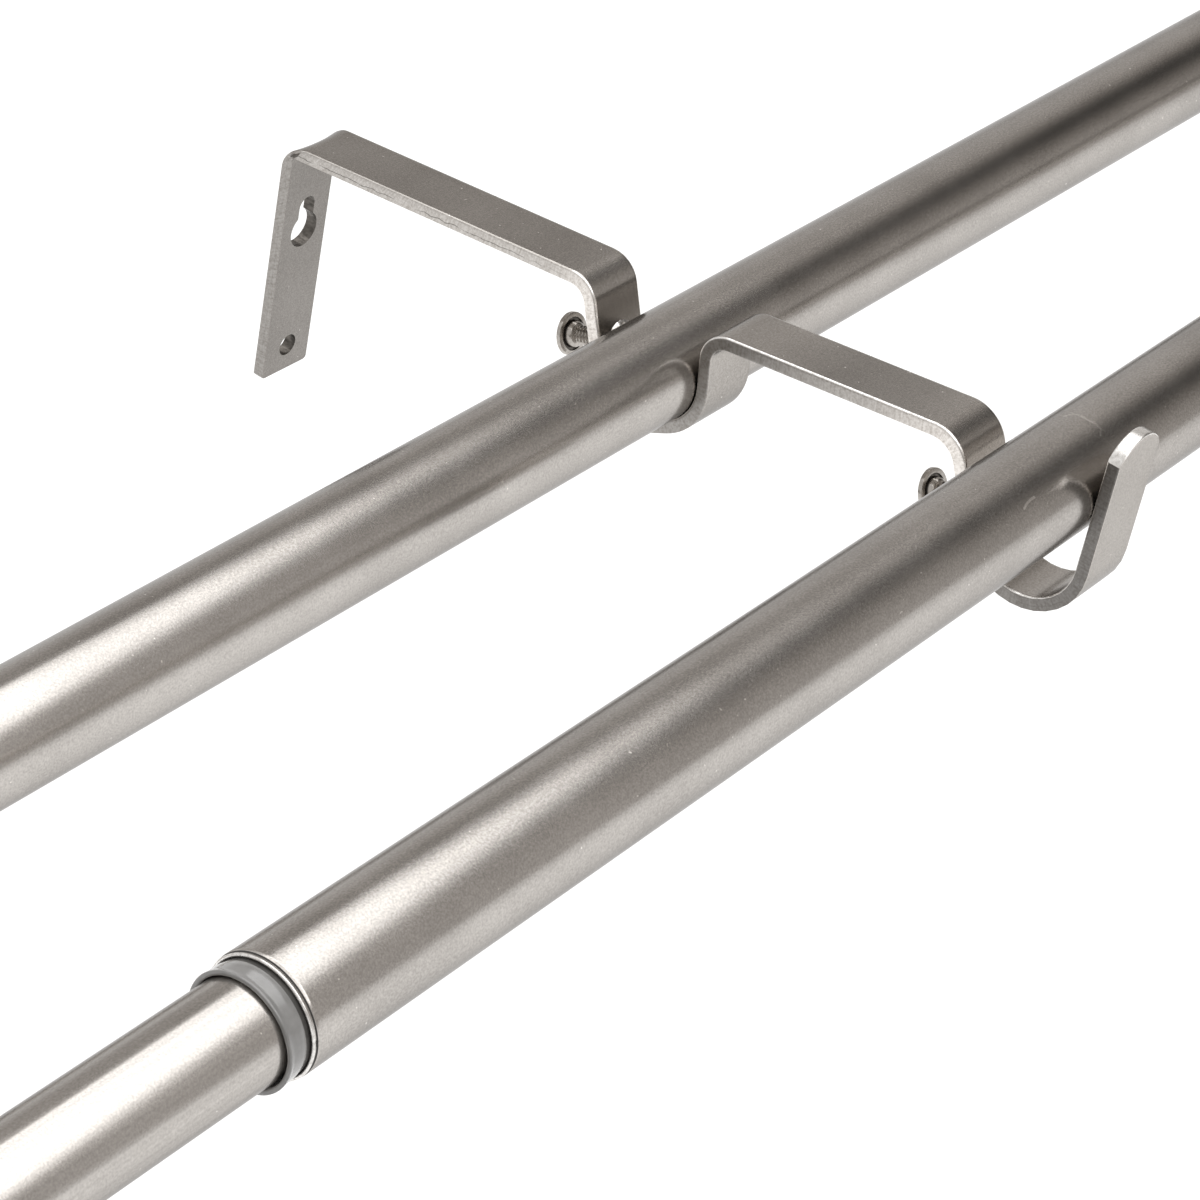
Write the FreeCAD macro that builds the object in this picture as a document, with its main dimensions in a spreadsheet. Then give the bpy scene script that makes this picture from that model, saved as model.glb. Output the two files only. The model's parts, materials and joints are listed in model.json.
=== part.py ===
import FreeCAD, Part
import math
import os

import Sketcher

# Double telescopic curtain pole on two bent flat-bar wall brackets.
# Frame: X runs along the poles, Y points back into the wall, Z is up.
# The origin lies on the wall, midway between the lower screw holes of the two brackets.

# Driving sizes, in millimetres and degrees. Each one is written once, here.
SIZES = {
    # The flat bar that both brackets are bent from
    "strip_width": 12.7,
    "strip_thickness": 2.5,
    "bracket_spacing": 400.0,
    # Straight stretches of the bar, from the foot of the wall plate to the tip of the hook
    "plate_below_hole": 5.7,
    "plate_straight": 46.6,
    "rear_arm_straight": 62.7,
    "rear_leg_straight": 12.8,
    "rear_wall_straight": 5.8,
    "front_arm_straight": 42.4,
    "front_leg_straight": 13.0,
    "hook_tip_straight": 25.95,
    # Angles that the bar turns through at each bend, in the same order
    "plate_bend_angle": 84.3,
    "rear_arm_bend_angle": 75.7,
    "cradle_back_angle": 97.0,
    "cradle_front_angle": 70.3,
    "neck_bend_angle": 89.7,
    "front_arm_bend_angle": 73.6,
    "hook_angle": 156.0,
    # Radii inside those bends. The first bend is pressed sharp, which thins the bar there.
    "plate_bend_inside": 0.8,
    "plate_bend_outside": 6.0,
    "rear_arm_bend_inside": 3.5,
    "cradle_back_inside": 8.0,
    "neck_bend_inside": 3.5,
    "front_arm_bend_inside": 5.0,
    # Room left for the poles in the rear cradle and the front hook
    "cradle_clearance": 0.3,
    "cradle_spare": 2.4,
    "hook_clearance": 0.5,
    "seat_gap": 0.05,
    "front_seat_rise": 11.75,
    # Holes and rounded ends of the bar
    "wall_hole_diameter": 4.5,
    "keyhole_rise": 26.2,
    "keyhole_head_diameter": 7.2,
    "keyhole_slot_width": 4.2,
    "keyhole_slot_rise": 5.2,
    "foot_corner_radius": 1.8,
    "tip_drop": 3.8,
    # Clamp screws through the two legs
    "screw_diameter": 3.5,
    "thread_gap": 0.05,
    "rear_screw_place": 9.4,
    "front_screw_place": 8.2,
    "rear_screw_stand_off": 8.5,
    "front_screw_stand_off": 9.1,
    "screw_head_diameter": 8.0,
    "screw_rim_thickness": 0.8,
    "screw_dome_height": 1.1,
    "screw_ring_diameter": 6.2,
    "screw_ring_depth": 0.3,
    "screw_boss_diameter": 4.9,
    "screw_boss_length": 1.4,
    "screw_tip_chamfer": 0.4,
    "screw_cross_depth": 1.2,
    "screw_cross_width": 0.8,
    "screw_cross_length": 4.2,
    # Telescopic poles
    "outer_tube_diameter": 19.0,
    "inner_tube_diameter": 16.0,
    "tube_wall": 0.7,
    "outer_tube_length": 700.0,
    "inner_tube_length": 600.0,
    "outer_tube_overhang": 198.85,
    "inner_tube_shown": 110.0,
    "tube_edge_radius": 0.25,
    # Plastic sleeve in the mouth of each outer tube: a collar in front, a neck inside the tube
    "sleeve_shown": 4.0,
    "sleeve_hidden": 20.0,
    "sleeve_outside_gap": 0.03,
    "sleeve_inside_gap": 0.06,
    "sleeve_collar_step": 0.33,
    "sleeve_collar_length": 3.0,
    "sleeve_collar_slope": 0.6,
    "sleeve_lip": 0.25,
    "sleeve_mouth_depth": 2.5,
    # Push-in end caps
    "cap_lip": 1.0,
    "cap_head_length": 6.0,
    "cap_edge_radius": 1.5,
    "cap_plug_length": 12.0,
    "cap_plug_gap": 0.05,
    "cap_plug_chamfer": 0.6,
}

doc = FreeCAD.newDocument("double_curtain_pole")
sheet = doc.addObject("Spreadsheet::Sheet", "Sizes")
pieces = []


# Sizes and expressions


def write_size(name, value):
    """Put one plain number into the next row of the sheet, under its own name."""
    row = len(sheet_rows) + 1
    sheet_rows.append(name)
    sheet.set(f"A{row}", name)
    sheet.set(f"B{row}", str(value))
    sheet.setAlias(f"B{row}", name)


def write_worked_out(sizes):
    """Add sizes that the geometry works out, so that pieces can be bound to them too."""
    for name, value in sizes.items():
        write_size(name, round(value, 6))
    doc.recompute()


def amount(words):
    """The number that an expression over the sheet comes to."""
    return float(sheet.evalExpression(words))


def bind(thing, prop, words):
    """Tie a property of a feature to an expression over the sheet."""
    thing.setExpression(prop, words)


def constrain(sketch, *what, words):
    """Add a dimension to a sketch and tie it to an expression over the sheet."""
    unit = math.radians(1) if what[0] == "Angle" else 1
    index = sketch.addConstraint(Sketcher.Constraint(*what, amount(words) * unit))
    name = f"size_{index}"
    sketch.renameConstraint(index, name)
    bind(sketch, f"Constraints.{name}", f"({words}) * 1 deg" if what[0] == "Angle" else words)


# The bar's outline

# The outline follows the bar from the foot of the plate to the tip of the hook. Its first
# side is the face that the poles rest on, its second side lies one thickness behind it.


def away(name):
    """A bend away from the poles: the first side is on its outside."""
    return (f"Sizes.{name}_angle", f"Sizes.{name}_inside + Sizes.strip_thickness", 1, None)


def pressed(name):
    """A bend away from the poles with a radius of its own on each side of the bar."""
    return (f"Sizes.{name}_angle", f"Sizes.{name}_outside", 1, f"Sizes.{name}_inside")


def towards(name, radius):
    """A bend towards the poles: the first side is on its inside."""
    return (f"Sizes.{name}_angle", radius, -1, None)


POLE_RADIUS = "Sizes.outer_tube_diameter / 2"
CRADLE_FLOOR = f"{POLE_RADIUS} + Sizes.cradle_spare - Sizes.cradle_back_inside - Sizes.cradle_clearance"

STRAIGHTS = {
    "plate": "Sizes.plate_straight",
    "rear_arm": "Sizes.rear_arm_straight",
    "rear_leg": "Sizes.rear_leg_straight",
    "rear_floor": CRADLE_FLOOR,
    "rear_wall": "Sizes.rear_wall_straight",
    "front_arm": "Sizes.front_arm_straight",
    "front_leg": "Sizes.front_leg_straight",
    "hook_wall": "Sizes.hook_tip_straight",
}
BENDS = [
    pressed("plate_bend"),
    away("rear_arm_bend"),
    towards("cradle_back", "Sizes.cradle_back_inside"),
    towards("cradle_front", f"{POLE_RADIUS} + Sizes.cradle_clearance"),
    away("neck_bend"),
    away("front_arm_bend"),
    towards("hook", f"{POLE_RADIUS} + Sizes.hook_clearance"),
]


def unit(degrees):
    """Unit vector at an angle from the first sketch axis towards the second."""
    return FreeCAD.Vector(math.cos(math.radians(degrees)), math.sin(math.radians(degrees)), 0)


class Side:
    """One side of the bar as points and bend centres in the plane of Y and Z."""

    def __init__(self, offset):
        self.straights = []
        self.centres = []
        self.headings = []
        heading = 90.0
        spare = 0.0
        here = FreeCAD.Vector(-offset, -amount("Sizes.plate_below_hole"), 0)
        for index, length in enumerate(STRAIGHTS.values()):
            own_radius, more = self.bend_radius(index, offset)
            there = here + unit(heading) * (amount(length) + spare + more)
            spare = more
            self.straights.append((here, there))
            self.headings.append(heading)
            if index == len(BENDS):
                break
            turn, radius, way, pressed_radius = BENDS[index]
            centre = there + unit(heading + 90 * way) * own_radius
            heading += way * amount(turn)
            here = centre + unit(heading - 90 * way) * own_radius
            self.centres.append((centre, own_radius))

    def bend_radius(self, index, offset):
        """This side's radius at a bend, and how much longer it makes the straights beside it."""
        if index == len(BENDS):
            return 0.0, 0.0
        turn, radius, way, pressed_radius = BENDS[index]
        even = amount(radius) - way * offset
        if pressed_radius is None or offset == 0:
            return even, 0.0
        own_radius = amount(pressed_radius)
        return own_radius, (even - own_radius) * math.tan(math.radians(amount(turn) / 2))

    def run(self, name):
        """Start, end and heading of the straight with this name."""
        index = list(STRAIGHTS).index(name)
        return (*self.straights[index], self.headings[index])

    def draw(self, sketch):
        """Add the side to a sketch as lines and arcs that meet in tangent."""
        first = sketch.GeometryCount
        for index, (start, end) in enumerate(self.straights):
            sketch.addGeometry(Part.LineSegment(start, end))
            if index < len(self.centres):
                centre, radius = self.centres[index]
                ends = [end, self.straights[index + 1][0]]
                if BENDS[index][2] < 0:
                    ends.reverse()
                circle = Part.Circle(centre, FreeCAD.Vector(0, 0, 1), radius)
                low, high = (circle.parameter(point) for point in ends)
                sketch.addGeometry(Part.ArcOfCircle(circle, low, high))
        for index in range(len(self.centres)):
            straight = first + 2 * index
            entry, leave = (1, 2) if BENDS[index][2] > 0 else (2, 1)
            sketch.addConstraint(Sketcher.Constraint("Tangent", straight, 2, straight + 1, entry))
            sketch.addConstraint(Sketcher.Constraint("Tangent", straight + 1, leave, straight + 2, 1))
        return first


def draw_bar(sketch):
    """Sketch the closed outline of the bar, every size tied to the sheet."""
    first_side.draw(sketch)
    back = Side(amount("Sizes.strip_thickness"))
    second = back.draw(sketch)
    foot = sketch.addGeometry(Part.LineSegment(first_side.straights[0][0], back.straights[0][0]))
    tip = sketch.addGeometry(Part.LineSegment(first_side.straights[-1][1], back.straights[-1][1]))
    last = second - 1
    for pair in ((foot, 1, 0, 1), (foot, 2, second, 1), (tip, 1, last, 2), (tip, 2, second + last, 2)):
        sketch.addConstraint(Sketcher.Constraint("Coincident", *pair))
    sketch.addConstraint(Sketcher.Constraint("PointOnObject", 0, 1, -2))
    sketch.addConstraint(Sketcher.Constraint("Horizontal", foot))
    sketch.addConstraint(Sketcher.Constraint("Perpendicular", tip, last))
    constrain(sketch, "DistanceY", 0, 1, -1, 1, words="Sizes.plate_below_hole")
    constrain(sketch, "Distance", foot, words="Sizes.strip_thickness")
    angle = "90"
    for index, length in enumerate(STRAIGHTS.values()):
        constrain(sketch, "Distance", 2 * index, words=length)
        if index == 0:
            sketch.addConstraint(Sketcher.Constraint("Vertical", 0))
            sketch.addConstraint(Sketcher.Constraint("Vertical", second))
        else:
            constrain(sketch, "Angle", 2 * index, words=angle)
            sketch.addConstraint(Sketcher.Constraint("Parallel", 2 * index, second + 2 * index))
        if index < len(BENDS):
            turn, radius, way, pressed_radius = BENDS[index]
            angle = f"{angle} {'+' if way > 0 else '-'} {turn}"
            bend = 2 * index + 1
            constrain(sketch, "Radius", bend, words=radius)
            if pressed_radius is None:
                sketch.addConstraint(Sketcher.Constraint("Coincident", bend, 3, second + bend, 3))
            else:
                after = bend + 1
                constrain(sketch, "Radius", second + bend, words=pressed_radius)
                constrain(
                    sketch, "Distance", second + after, 1, after, words="Sizes.strip_thickness"
                )


# Seats: where the bar holds the poles and the screws


def pole_seats():
    """Centres of the rear and the front pole in the plane of Y and Z."""
    gap = amount("Sizes.seat_gap")
    floor, floor_end, floor_heading = first_side.run("rear_floor")
    rear = floor_end + unit(floor_heading - 90) * (amount(POLE_RADIUS) + gap)
    wall, wall_end, wall_heading = first_side.run("hook_wall")
    rise = unit(wall_heading) * amount("Sizes.front_seat_rise")
    front = wall + unit(wall_heading - 90) * (amount(POLE_RADIUS) + gap) + rise
    return rear, front


def screw_seat(leg, place, pole):
    """Point where a screw leaves its leg, its heading, and its reach to the pole."""
    start, end, leg_heading = first_side.run(leg)
    heading = leg_heading - 90
    point = start + unit(leg_heading) * amount(place)
    to_pole = pole - point
    ahead = to_pole.dot(unit(heading))
    aside = abs(to_pole.dot(unit(heading + 90)))
    flat_radius = amount("Sizes.screw_diameter / 2 - Sizes.screw_tip_chamfer")
    miss = max(0.0, aside - flat_radius)
    reach = ahead - math.sqrt(amount(POLE_RADIUS) ** 2 - miss**2) - amount("Sizes.seat_gap")
    return point, heading, reach


def work_out_seats():
    """Write the places of the poles, the screws and the hook's tip into the sheet."""
    rear, front = pole_seats()
    sizes = {"rear_pole_y": rear.x, "rear_pole_z": rear.y}
    sizes.update({"front_pole_y": front.x, "front_pole_z": front.y})
    seats = {
        "rear": screw_seat("rear_leg", "Sizes.rear_screw_place", rear),
        "front": screw_seat("front_leg", "Sizes.front_screw_place", front),
    }
    for row, (point, heading, reach) in seats.items():
        back_off = amount(f"Sizes.strip_thickness + Sizes.{row}_screw_stand_off")
        head_depth = amount("Sizes.screw_dome_height + Sizes.screw_rim_thickness")
        top = point - unit(heading) * (back_off + head_depth)
        sizes[f"{row}_hole_y"] = point.x
        sizes[f"{row}_hole_z"] = point.y
        sizes[f"{row}_screw_tilt"] = heading
        sizes[f"{row}_screw_y"] = top.x
        sizes[f"{row}_screw_z"] = top.y
        sizes[f"{row}_screw_length"] = head_depth + back_off + reach
    sizes["hook_tip_z"] = first_side.run("hook_wall")[1].y
    write_worked_out(sizes)


# Building blocks


def new_body(name):
    """A body that becomes one piece of the part."""
    body = doc.addObject("PartDesign::Body", name)
    body.Label = name
    pieces.append(body)
    return body


def new_sketch(body, name, plane):
    """A sketch on one of the body's own origin planes."""
    sketch = body.newObject("Sketcher::SketchObject", name)
    sketch.AttachmentSupport = (
        next(feature for feature in body.Origin.OriginFeatures if feature.Role == plane),
        [""],
    )
    sketch.MapMode = "FlatFace"
    return sketch


def draw_outline(sketch, corners, arcs=()):
    """Draw a closed outline. Each corner is a pair of expressions, none below zero.

    The stretch that starts at a corner named in arcs is drawn as an arc with its centre on
    the sketch's first axis.
    """
    points = [FreeCAD.Vector(amount(along), amount(up), 0) for along, up in corners]
    for index, point in enumerate(points):
        following = points[(index + 1) % len(points)]
        if index in arcs:
            sketch.addGeometry(arc_on_axis(point, following))
        else:
            sketch.addGeometry(Part.LineSegment(point, following))
    for index, (along, up) in enumerate(corners):
        following = (index + 1) % len(corners)
        start, end = (2, 1) if index in arcs else (1, 2)
        next_start = 2 if following in arcs else 1
        sketch.addConstraint(Sketcher.Constraint("Coincident", index, end, following, next_start))
        pin_corner(sketch, index, start, along, up)
        if index in arcs:
            sketch.addConstraint(Sketcher.Constraint("PointOnObject", index, 3, -1))


def arc_on_axis(start, end):
    """Arc from a point on the first axis up to another point, centred on that axis."""
    rise = end - start
    radius = (rise.x**2 + rise.y**2) / (2 * rise.x)
    circle = Part.Circle(start + FreeCAD.Vector(radius, 0, 0), FreeCAD.Vector(0, 0, 1), radius)
    return Part.ArcOfCircle(circle, circle.parameter(end), circle.parameter(start))


def pin_corner(sketch, geometry, point, along, up):
    """Fix one corner of an outline by its two distances from the sketch's origin."""
    if along == "0":
        sketch.addConstraint(Sketcher.Constraint("PointOnObject", geometry, point, -2))
    else:
        constrain(sketch, "DistanceX", -1, 1, geometry, point, words=along)
    if up == "0":
        sketch.addConstraint(Sketcher.Constraint("PointOnObject", geometry, point, -1))
    else:
        constrain(sketch, "DistanceY", -1, 1, geometry, point, words=up)


def turn_profile(body, corners, arcs=()):
    """Turn an outline about the body's X axis. Corners are distances along and out."""
    sketch = new_sketch(body, f"{body.Name}_profile", "XZ_Plane")
    draw_outline(sketch, corners, arcs)
    turned = body.newObject("PartDesign::Revolution", f"{body.Name}_turned")
    turned.Profile = sketch
    turned.ReferenceAxis = (sketch, ["H_Axis"])
    turned.Angle = 360
    doc.recompute()
    return turned


def round_edges(body, radius, wanted, name):
    """Round the edges of the newest feature that the test picks out."""
    base = body.Tip
    edges = [f"Edge{n}" for n, edge in enumerate(base.Shape.Edges, 1) if wanted(edge)]
    fillet = body.newObject("PartDesign::Fillet", f"{body.Name}_{name}")
    fillet.Base = (base, edges)
    bind(fillet, "Radius", radius)
    doc.recompute()


def place(body, x=None, y=None, z=None):
    """Bind the body's position to the sheet."""
    for axis, words in (("x", x), ("y", y), ("z", z)):
        if words:
            bind(body, f"Placement.Base.{axis}", words)


def is_ring_at(edge, along, radii):
    """Whether an edge is a circle about the X axis at a given place and radius."""
    if not hasattr(edge.Curve, "Radius") or abs(edge.BoundBox.XLength) > 1e-6:
        return False
    return abs(edge.BoundBox.Center.x - along) < 1e-6 and any(
        abs(edge.Curve.Radius - radius) < 1e-6 for radius in radii
    )


# One bracket: a flat bar bent into a plate, two arms, a cradle and a hook


def make_bracket(name, x):
    """Build one bracket with its wall holes and clamp holes."""
    body = new_body(name)
    sketch = new_sketch(body, f"{name}_side", "YZ_Plane")
    draw_bar(sketch)
    bar = body.newObject("PartDesign::Pad", f"{name}_bar")
    bar.Profile = sketch
    bar.Midplane = True
    bind(bar, "Length", "Sizes.strip_width")
    doc.recompute()
    round_edges(body, "Sizes.foot_corner_radius", is_foot_corner, "foot")
    cut_tip(body)
    drill_plate(body)
    drill_leg(body, "rear")
    drill_leg(body, "front")
    place(body, x=x)


def is_foot_corner(edge):
    """Whether an edge is a short corner at the foot of the plate."""
    foot = -amount("Sizes.plate_below_hole")
    box = edge.BoundBox
    return box.XLength < 1e-6 and box.ZMax < foot + 1e-6


def cut_tip(body):
    """Cut the tip of the hook to one shallow arc across the bar."""
    top = "Sizes.hook_tip_z"
    reach = "Sizes.strip_width * 0.51"
    radius = "(Sizes.strip_width ^ 2 / 4 + Sizes.tip_drop ^ 2) / (2 * Sizes.tip_drop)"
    above = f"{top} + Sizes.strip_thickness"
    sketch = new_sketch(body, f"{body.Name}_tip_outline", "XZ_Plane")
    centre = FreeCAD.Vector(0, amount(f"{top} - {radius}"), 0)
    circle = Part.Circle(centre, FreeCAD.Vector(0, 0, 1), amount(radius))
    turn = math.acos(amount(reach) / amount(radius))
    sketch.addGeometry(Part.ArcOfCircle(circle, turn, math.pi - turn))
    arc = sketch.Geometry[0]
    high = amount(above)
    corners = [
        arc.StartPoint,
        FreeCAD.Vector(arc.StartPoint.x, high, 0),
        FreeCAD.Vector(arc.EndPoint.x, high, 0),
        arc.EndPoint,
    ]
    for start, end in zip(corners, corners[1:]):
        sketch.addGeometry(Part.LineSegment(start, end))
    for pair in ((0, 1, 1, 1), (1, 2, 2, 1), (2, 2, 3, 1), (3, 2, 0, 2)):
        sketch.addConstraint(Sketcher.Constraint("Coincident", *pair))
    sketch.addConstraint(Sketcher.Constraint("Vertical", 1))
    sketch.addConstraint(Sketcher.Constraint("Horizontal", 2))
    sketch.addConstraint(Sketcher.Constraint("Vertical", 3))
    sketch.addConstraint(Sketcher.Constraint("PointOnObject", 0, 3, -2))
    constrain(sketch, "Radius", 0, words=radius)
    constrain(sketch, "DistanceY", -1, 1, 0, 3, words=f"{top} - {radius}")
    constrain(sketch, "DistanceX", -1, 1, 0, 1, words=reach)
    constrain(sketch, "DistanceX", 0, 2, -1, 1, words=reach)
    constrain(sketch, "DistanceY", -1, 1, 2, 1, words=above)
    tip = body.newObject("PartDesign::Pocket", f"{body.Name}_tip")
    tip.Profile = sketch
    tip.Type = 1
    tip.Midplane = True
    doc.recompute()


def drill_plate(body):
    """Cut the lower wall hole and the keyhole right through the plate."""
    cut_round(body, "wall_hole", "Sizes.wall_hole_diameter", "0")
    cut_round(body, "keyhole_head", "Sizes.keyhole_head_diameter", "Sizes.keyhole_rise")
    cut_round(
        body, "keyhole_end", "Sizes.keyhole_slot_width", "Sizes.keyhole_rise + Sizes.keyhole_slot_rise"
    )
    slot = body.newObject("PartDesign::SubtractiveBox", f"{body.Name}_keyhole_slot")
    bind(slot, "Length", "Sizes.keyhole_slot_width")
    bind(slot, "Width", "Sizes.strip_thickness * 2")
    bind(slot, "Height", "Sizes.keyhole_slot_rise")
    bind(slot, "Placement.Base.x", "-Sizes.keyhole_slot_width / 2")
    bind(slot, "Placement.Base.y", "-Sizes.strip_thickness * 1.5")
    bind(slot, "Placement.Base.z", "Sizes.keyhole_rise")
    doc.recompute()


def cut_round(body, name, diameter, rise):
    """Cut one round hole through the plate at a height above the lower hole."""
    hole = body.newObject("PartDesign::SubtractiveCylinder", f"{body.Name}_{name}")
    hole.Placement.Rotation = FreeCAD.Rotation(FreeCAD.Vector(1, 0, 0), 90)
    bind(hole, "Radius", f"{diameter} / 2")
    bind(hole, "Height", "Sizes.strip_thickness * 2")
    bind(hole, "Placement.Base.y", "Sizes.strip_thickness / 2")
    bind(hole, "Placement.Base.z", rise)
    doc.recompute()


def drill_leg(body, row):
    """Cut the clamp hole of one leg, square to the leg."""
    tilt = amount(f"Sizes.{row}_screw_tilt")
    hole = body.newObject("PartDesign::SubtractiveCylinder", f"{body.Name}_{row}_clamp_hole")
    axis = unit(tilt)
    hole.Placement.Rotation = FreeCAD.Rotation(
        FreeCAD.Vector(0, 0, 1), FreeCAD.Vector(0, axis.x, axis.y)
    )
    bind(hole, "Radius", "Sizes.screw_diameter / 2 + Sizes.thread_gap")
    bind(hole, "Height", "Sizes.strip_thickness * 2")
    back = "Sizes.strip_thickness * 1.5"
    bind(hole, "Placement.Base.y", f"Sizes.{row}_hole_y - {back} * cos(Sizes.{row}_screw_tilt * 1 deg)")
    bind(hole, "Placement.Base.z", f"Sizes.{row}_hole_z - {back} * sin(Sizes.{row}_screw_tilt * 1 deg)")
    doc.recompute()


# One clamp screw


def make_screw(name, row, x):
    """Build a domed screw with a cross recess, its tip resting against the pole."""
    body = new_body(name)
    under = "Sizes.screw_dome_height + Sizes.screw_rim_thickness"
    length = f"Sizes.{row}_screw_length"
    shank = "Sizes.screw_diameter / 2"
    ring_floor = f"{under} - Sizes.screw_ring_depth"
    boss_end = f"{under} + Sizes.screw_boss_length"
    corners = [
        ("0", "0"),
        ("Sizes.screw_dome_height", "Sizes.screw_head_diameter / 2"),
        (under, "Sizes.screw_head_diameter / 2"),
        (under, "Sizes.screw_ring_diameter / 2"),
        (ring_floor, "Sizes.screw_ring_diameter / 2"),
        (ring_floor, "Sizes.screw_boss_diameter / 2"),
        (boss_end, "Sizes.screw_boss_diameter / 2"),
        (boss_end, shank),
        (f"{length} - Sizes.screw_tip_chamfer", shank),
        (length, f"{shank} - Sizes.screw_tip_chamfer"),
        (length, "0"),
    ]
    turn_profile(body, corners, arcs=(0,))
    cut_cross(body)
    tilt = amount(f"Sizes.{row}_screw_tilt")
    tip_up = FreeCAD.Rotation(FreeCAD.Vector(1, 0, 0), tilt)
    sideways = FreeCAD.Rotation(FreeCAD.Vector(0, 0, 1), 90)
    body.Placement.Rotation = tip_up * sideways
    place(body, x=x, y=f"Sizes.{row}_screw_y", z=f"Sizes.{row}_screw_z")


def cut_cross(body):
    """Cut a cross recess into the top of the screw head."""
    sizes = {"Length": "Sizes.screw_cross_depth"}
    for way, (wide, tall) in enumerate((("length", "width"), ("width", "length"))):
        box = body.newObject("PartDesign::SubtractiveBox", f"{body.Name}_cross_{way}")
        sizes["Width"] = f"Sizes.screw_cross_{wide}"
        sizes["Height"] = f"Sizes.screw_cross_{tall}"
        for prop, words in sizes.items():
            bind(box, prop, words)
        bind(box, "Placement.Base.y", f"-Sizes.screw_cross_{wide} / 2")
        bind(box, "Placement.Base.z", f"-Sizes.screw_cross_{tall} / 2")
        doc.recompute()


# One telescopic pole: outer tube, sleeve, inner tube and two end caps

OUTER_BORE = "Sizes.outer_tube_diameter / 2 - Sizes.tube_wall"
INNER_BORE = "Sizes.inner_tube_diameter / 2 - Sizes.tube_wall"
OUTER_START = "-Sizes.bracket_spacing / 2 - Sizes.outer_tube_overhang"
INNER_START = f"{OUTER_START} - Sizes.inner_tube_shown"


def make_ring(name, inside, outside, length, edge_radius):
    """Build a plain ring along X with its four end edges rounded."""
    body = new_body(name)
    corners = [("0", inside), (length, inside), (length, outside), ("0", outside)]
    turn_profile(body, corners)
    ends = (0.0, amount(length))
    radii = (amount(inside), amount(outside))
    round_edges(
        body, edge_radius, lambda edge: any(is_ring_at(edge, end, radii) for end in ends), "ends"
    )
    return body


def make_sleeve(name, inside, outside):
    """Build a sleeve: a collar with a funnel mouth, then a neck that fits the outer tube."""
    body = new_body(name)
    collar = f"{outside} + Sizes.sleeve_collar_step"
    length = "Sizes.sleeve_shown + Sizes.sleeve_hidden"
    corners = [
        ("0", f"{collar} - Sizes.sleeve_lip"),
        ("0", collar),
        ("Sizes.sleeve_collar_length", collar),
        ("Sizes.sleeve_collar_length + Sizes.sleeve_collar_slope", outside),
        (length, outside),
        (length, inside),
        ("Sizes.sleeve_mouth_depth", inside),
    ]
    turn_profile(body, corners)
    return body


def make_cap(name, tube_radius, bore_radius):
    """Build a cap: a rounded head, then a plug that pushes into the tube."""
    body = new_body(name)
    head = f"{tube_radius} + Sizes.cap_lip"
    plug = f"{bore_radius} - Sizes.cap_plug_gap"
    end = "Sizes.cap_head_length + Sizes.cap_plug_length"
    corners = [
        ("0", "0"),
        ("0", head),
        ("Sizes.cap_head_length", head),
        ("Sizes.cap_head_length", plug),
        (f"{end} - Sizes.cap_plug_chamfer", plug),
        (end, f"{plug} - Sizes.cap_plug_chamfer"),
        (end, "0"),
    ]
    turn_profile(body, corners)
    round_edges(
        body, "Sizes.cap_edge_radius", lambda edge: is_ring_at(edge, 0.0, (amount(head),)), "edge"
    )
    return body


def make_pole(row):
    """Build one pole and place its five pieces on the pole's seat."""
    tube = make_ring(
        f"{row}_outer_tube", OUTER_BORE, POLE_RADIUS, "Sizes.outer_tube_length", "Sizes.tube_edge_radius"
    )
    inner_radius = "Sizes.inner_tube_diameter / 2"
    slider = make_ring(
        f"{row}_inner_tube", INNER_BORE, inner_radius, "Sizes.inner_tube_length", "Sizes.tube_edge_radius"
    )
    sleeve = make_sleeve(
        f"{row}_sleeve",
        f"{inner_radius} + Sizes.sleeve_inside_gap",
        f"{OUTER_BORE} - Sizes.sleeve_outside_gap",
    )
    outer_cap = make_cap(f"{row}_outer_cap", POLE_RADIUS, OUTER_BORE)
    inner_cap = make_cap(f"{row}_inner_cap", inner_radius, INNER_BORE)
    outer_cap.Placement.Rotation = FreeCAD.Rotation(FreeCAD.Vector(0, 0, 1), 180)
    starts = {
        tube: OUTER_START,
        slider: INNER_START,
        sleeve: f"{OUTER_START} - Sizes.sleeve_shown",
        outer_cap: f"{OUTER_START} + Sizes.outer_tube_length + Sizes.seat_gap + Sizes.cap_head_length",
        inner_cap: f"{INNER_START} - Sizes.seat_gap - Sizes.cap_head_length",
    }
    for body, x in starts.items():
        place(body, x=x, y=f"Sizes.{row}_pole_y", z=f"Sizes.{row}_pole_z")


# Checks and export


def check_document():
    """Stop if any object is invalid or any piece has no sound shape."""
    for thing in doc.Objects:
        if "Invalid" in thing.State or "Error" in thing.State:
            raise RuntimeError(f"{thing.Name} is in state {thing.State}")
    for body in pieces:
        shape = body.Shape
        if shape.isNull() or not shape.isValid() or len(shape.Solids) != 1:
            raise RuntimeError(f"{body.Label} is not one sound solid")


def export_pieces():
    """Write every piece to its own file."""
    os.makedirs("parts", exist_ok=True)
    for body in pieces:
        body.Shape.exportStep(f"parts/{body.Label}.step")


sheet_rows = []
for size_name, size_value in SIZES.items():
    write_size(size_name, size_value)
doc.recompute()
first_side = Side(0.0)
work_out_seats()

LEFT = "-Sizes.bracket_spacing / 2"
RIGHT = "Sizes.bracket_spacing / 2"
for side_name, side_x in (("left", LEFT), ("right", RIGHT)):
    make_bracket(f"bracket_{side_name}", side_x)
    make_screw(f"rear_screw_{side_name}", "rear", side_x)
    make_screw(f"front_screw_{side_name}", "front", side_x)
make_pole("rear")
make_pole("front")

doc.recompute()
check_document()
export_pieces()
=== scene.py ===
"""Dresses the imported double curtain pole: bent bar brackets, clamp screws, telescopic tubes."""

import json
import logging
import math
from dataclasses import dataclass, field
from enum import Enum, IntEnum

import bmesh
import bpy
from mathutils import Matrix, Vector, noise


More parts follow.
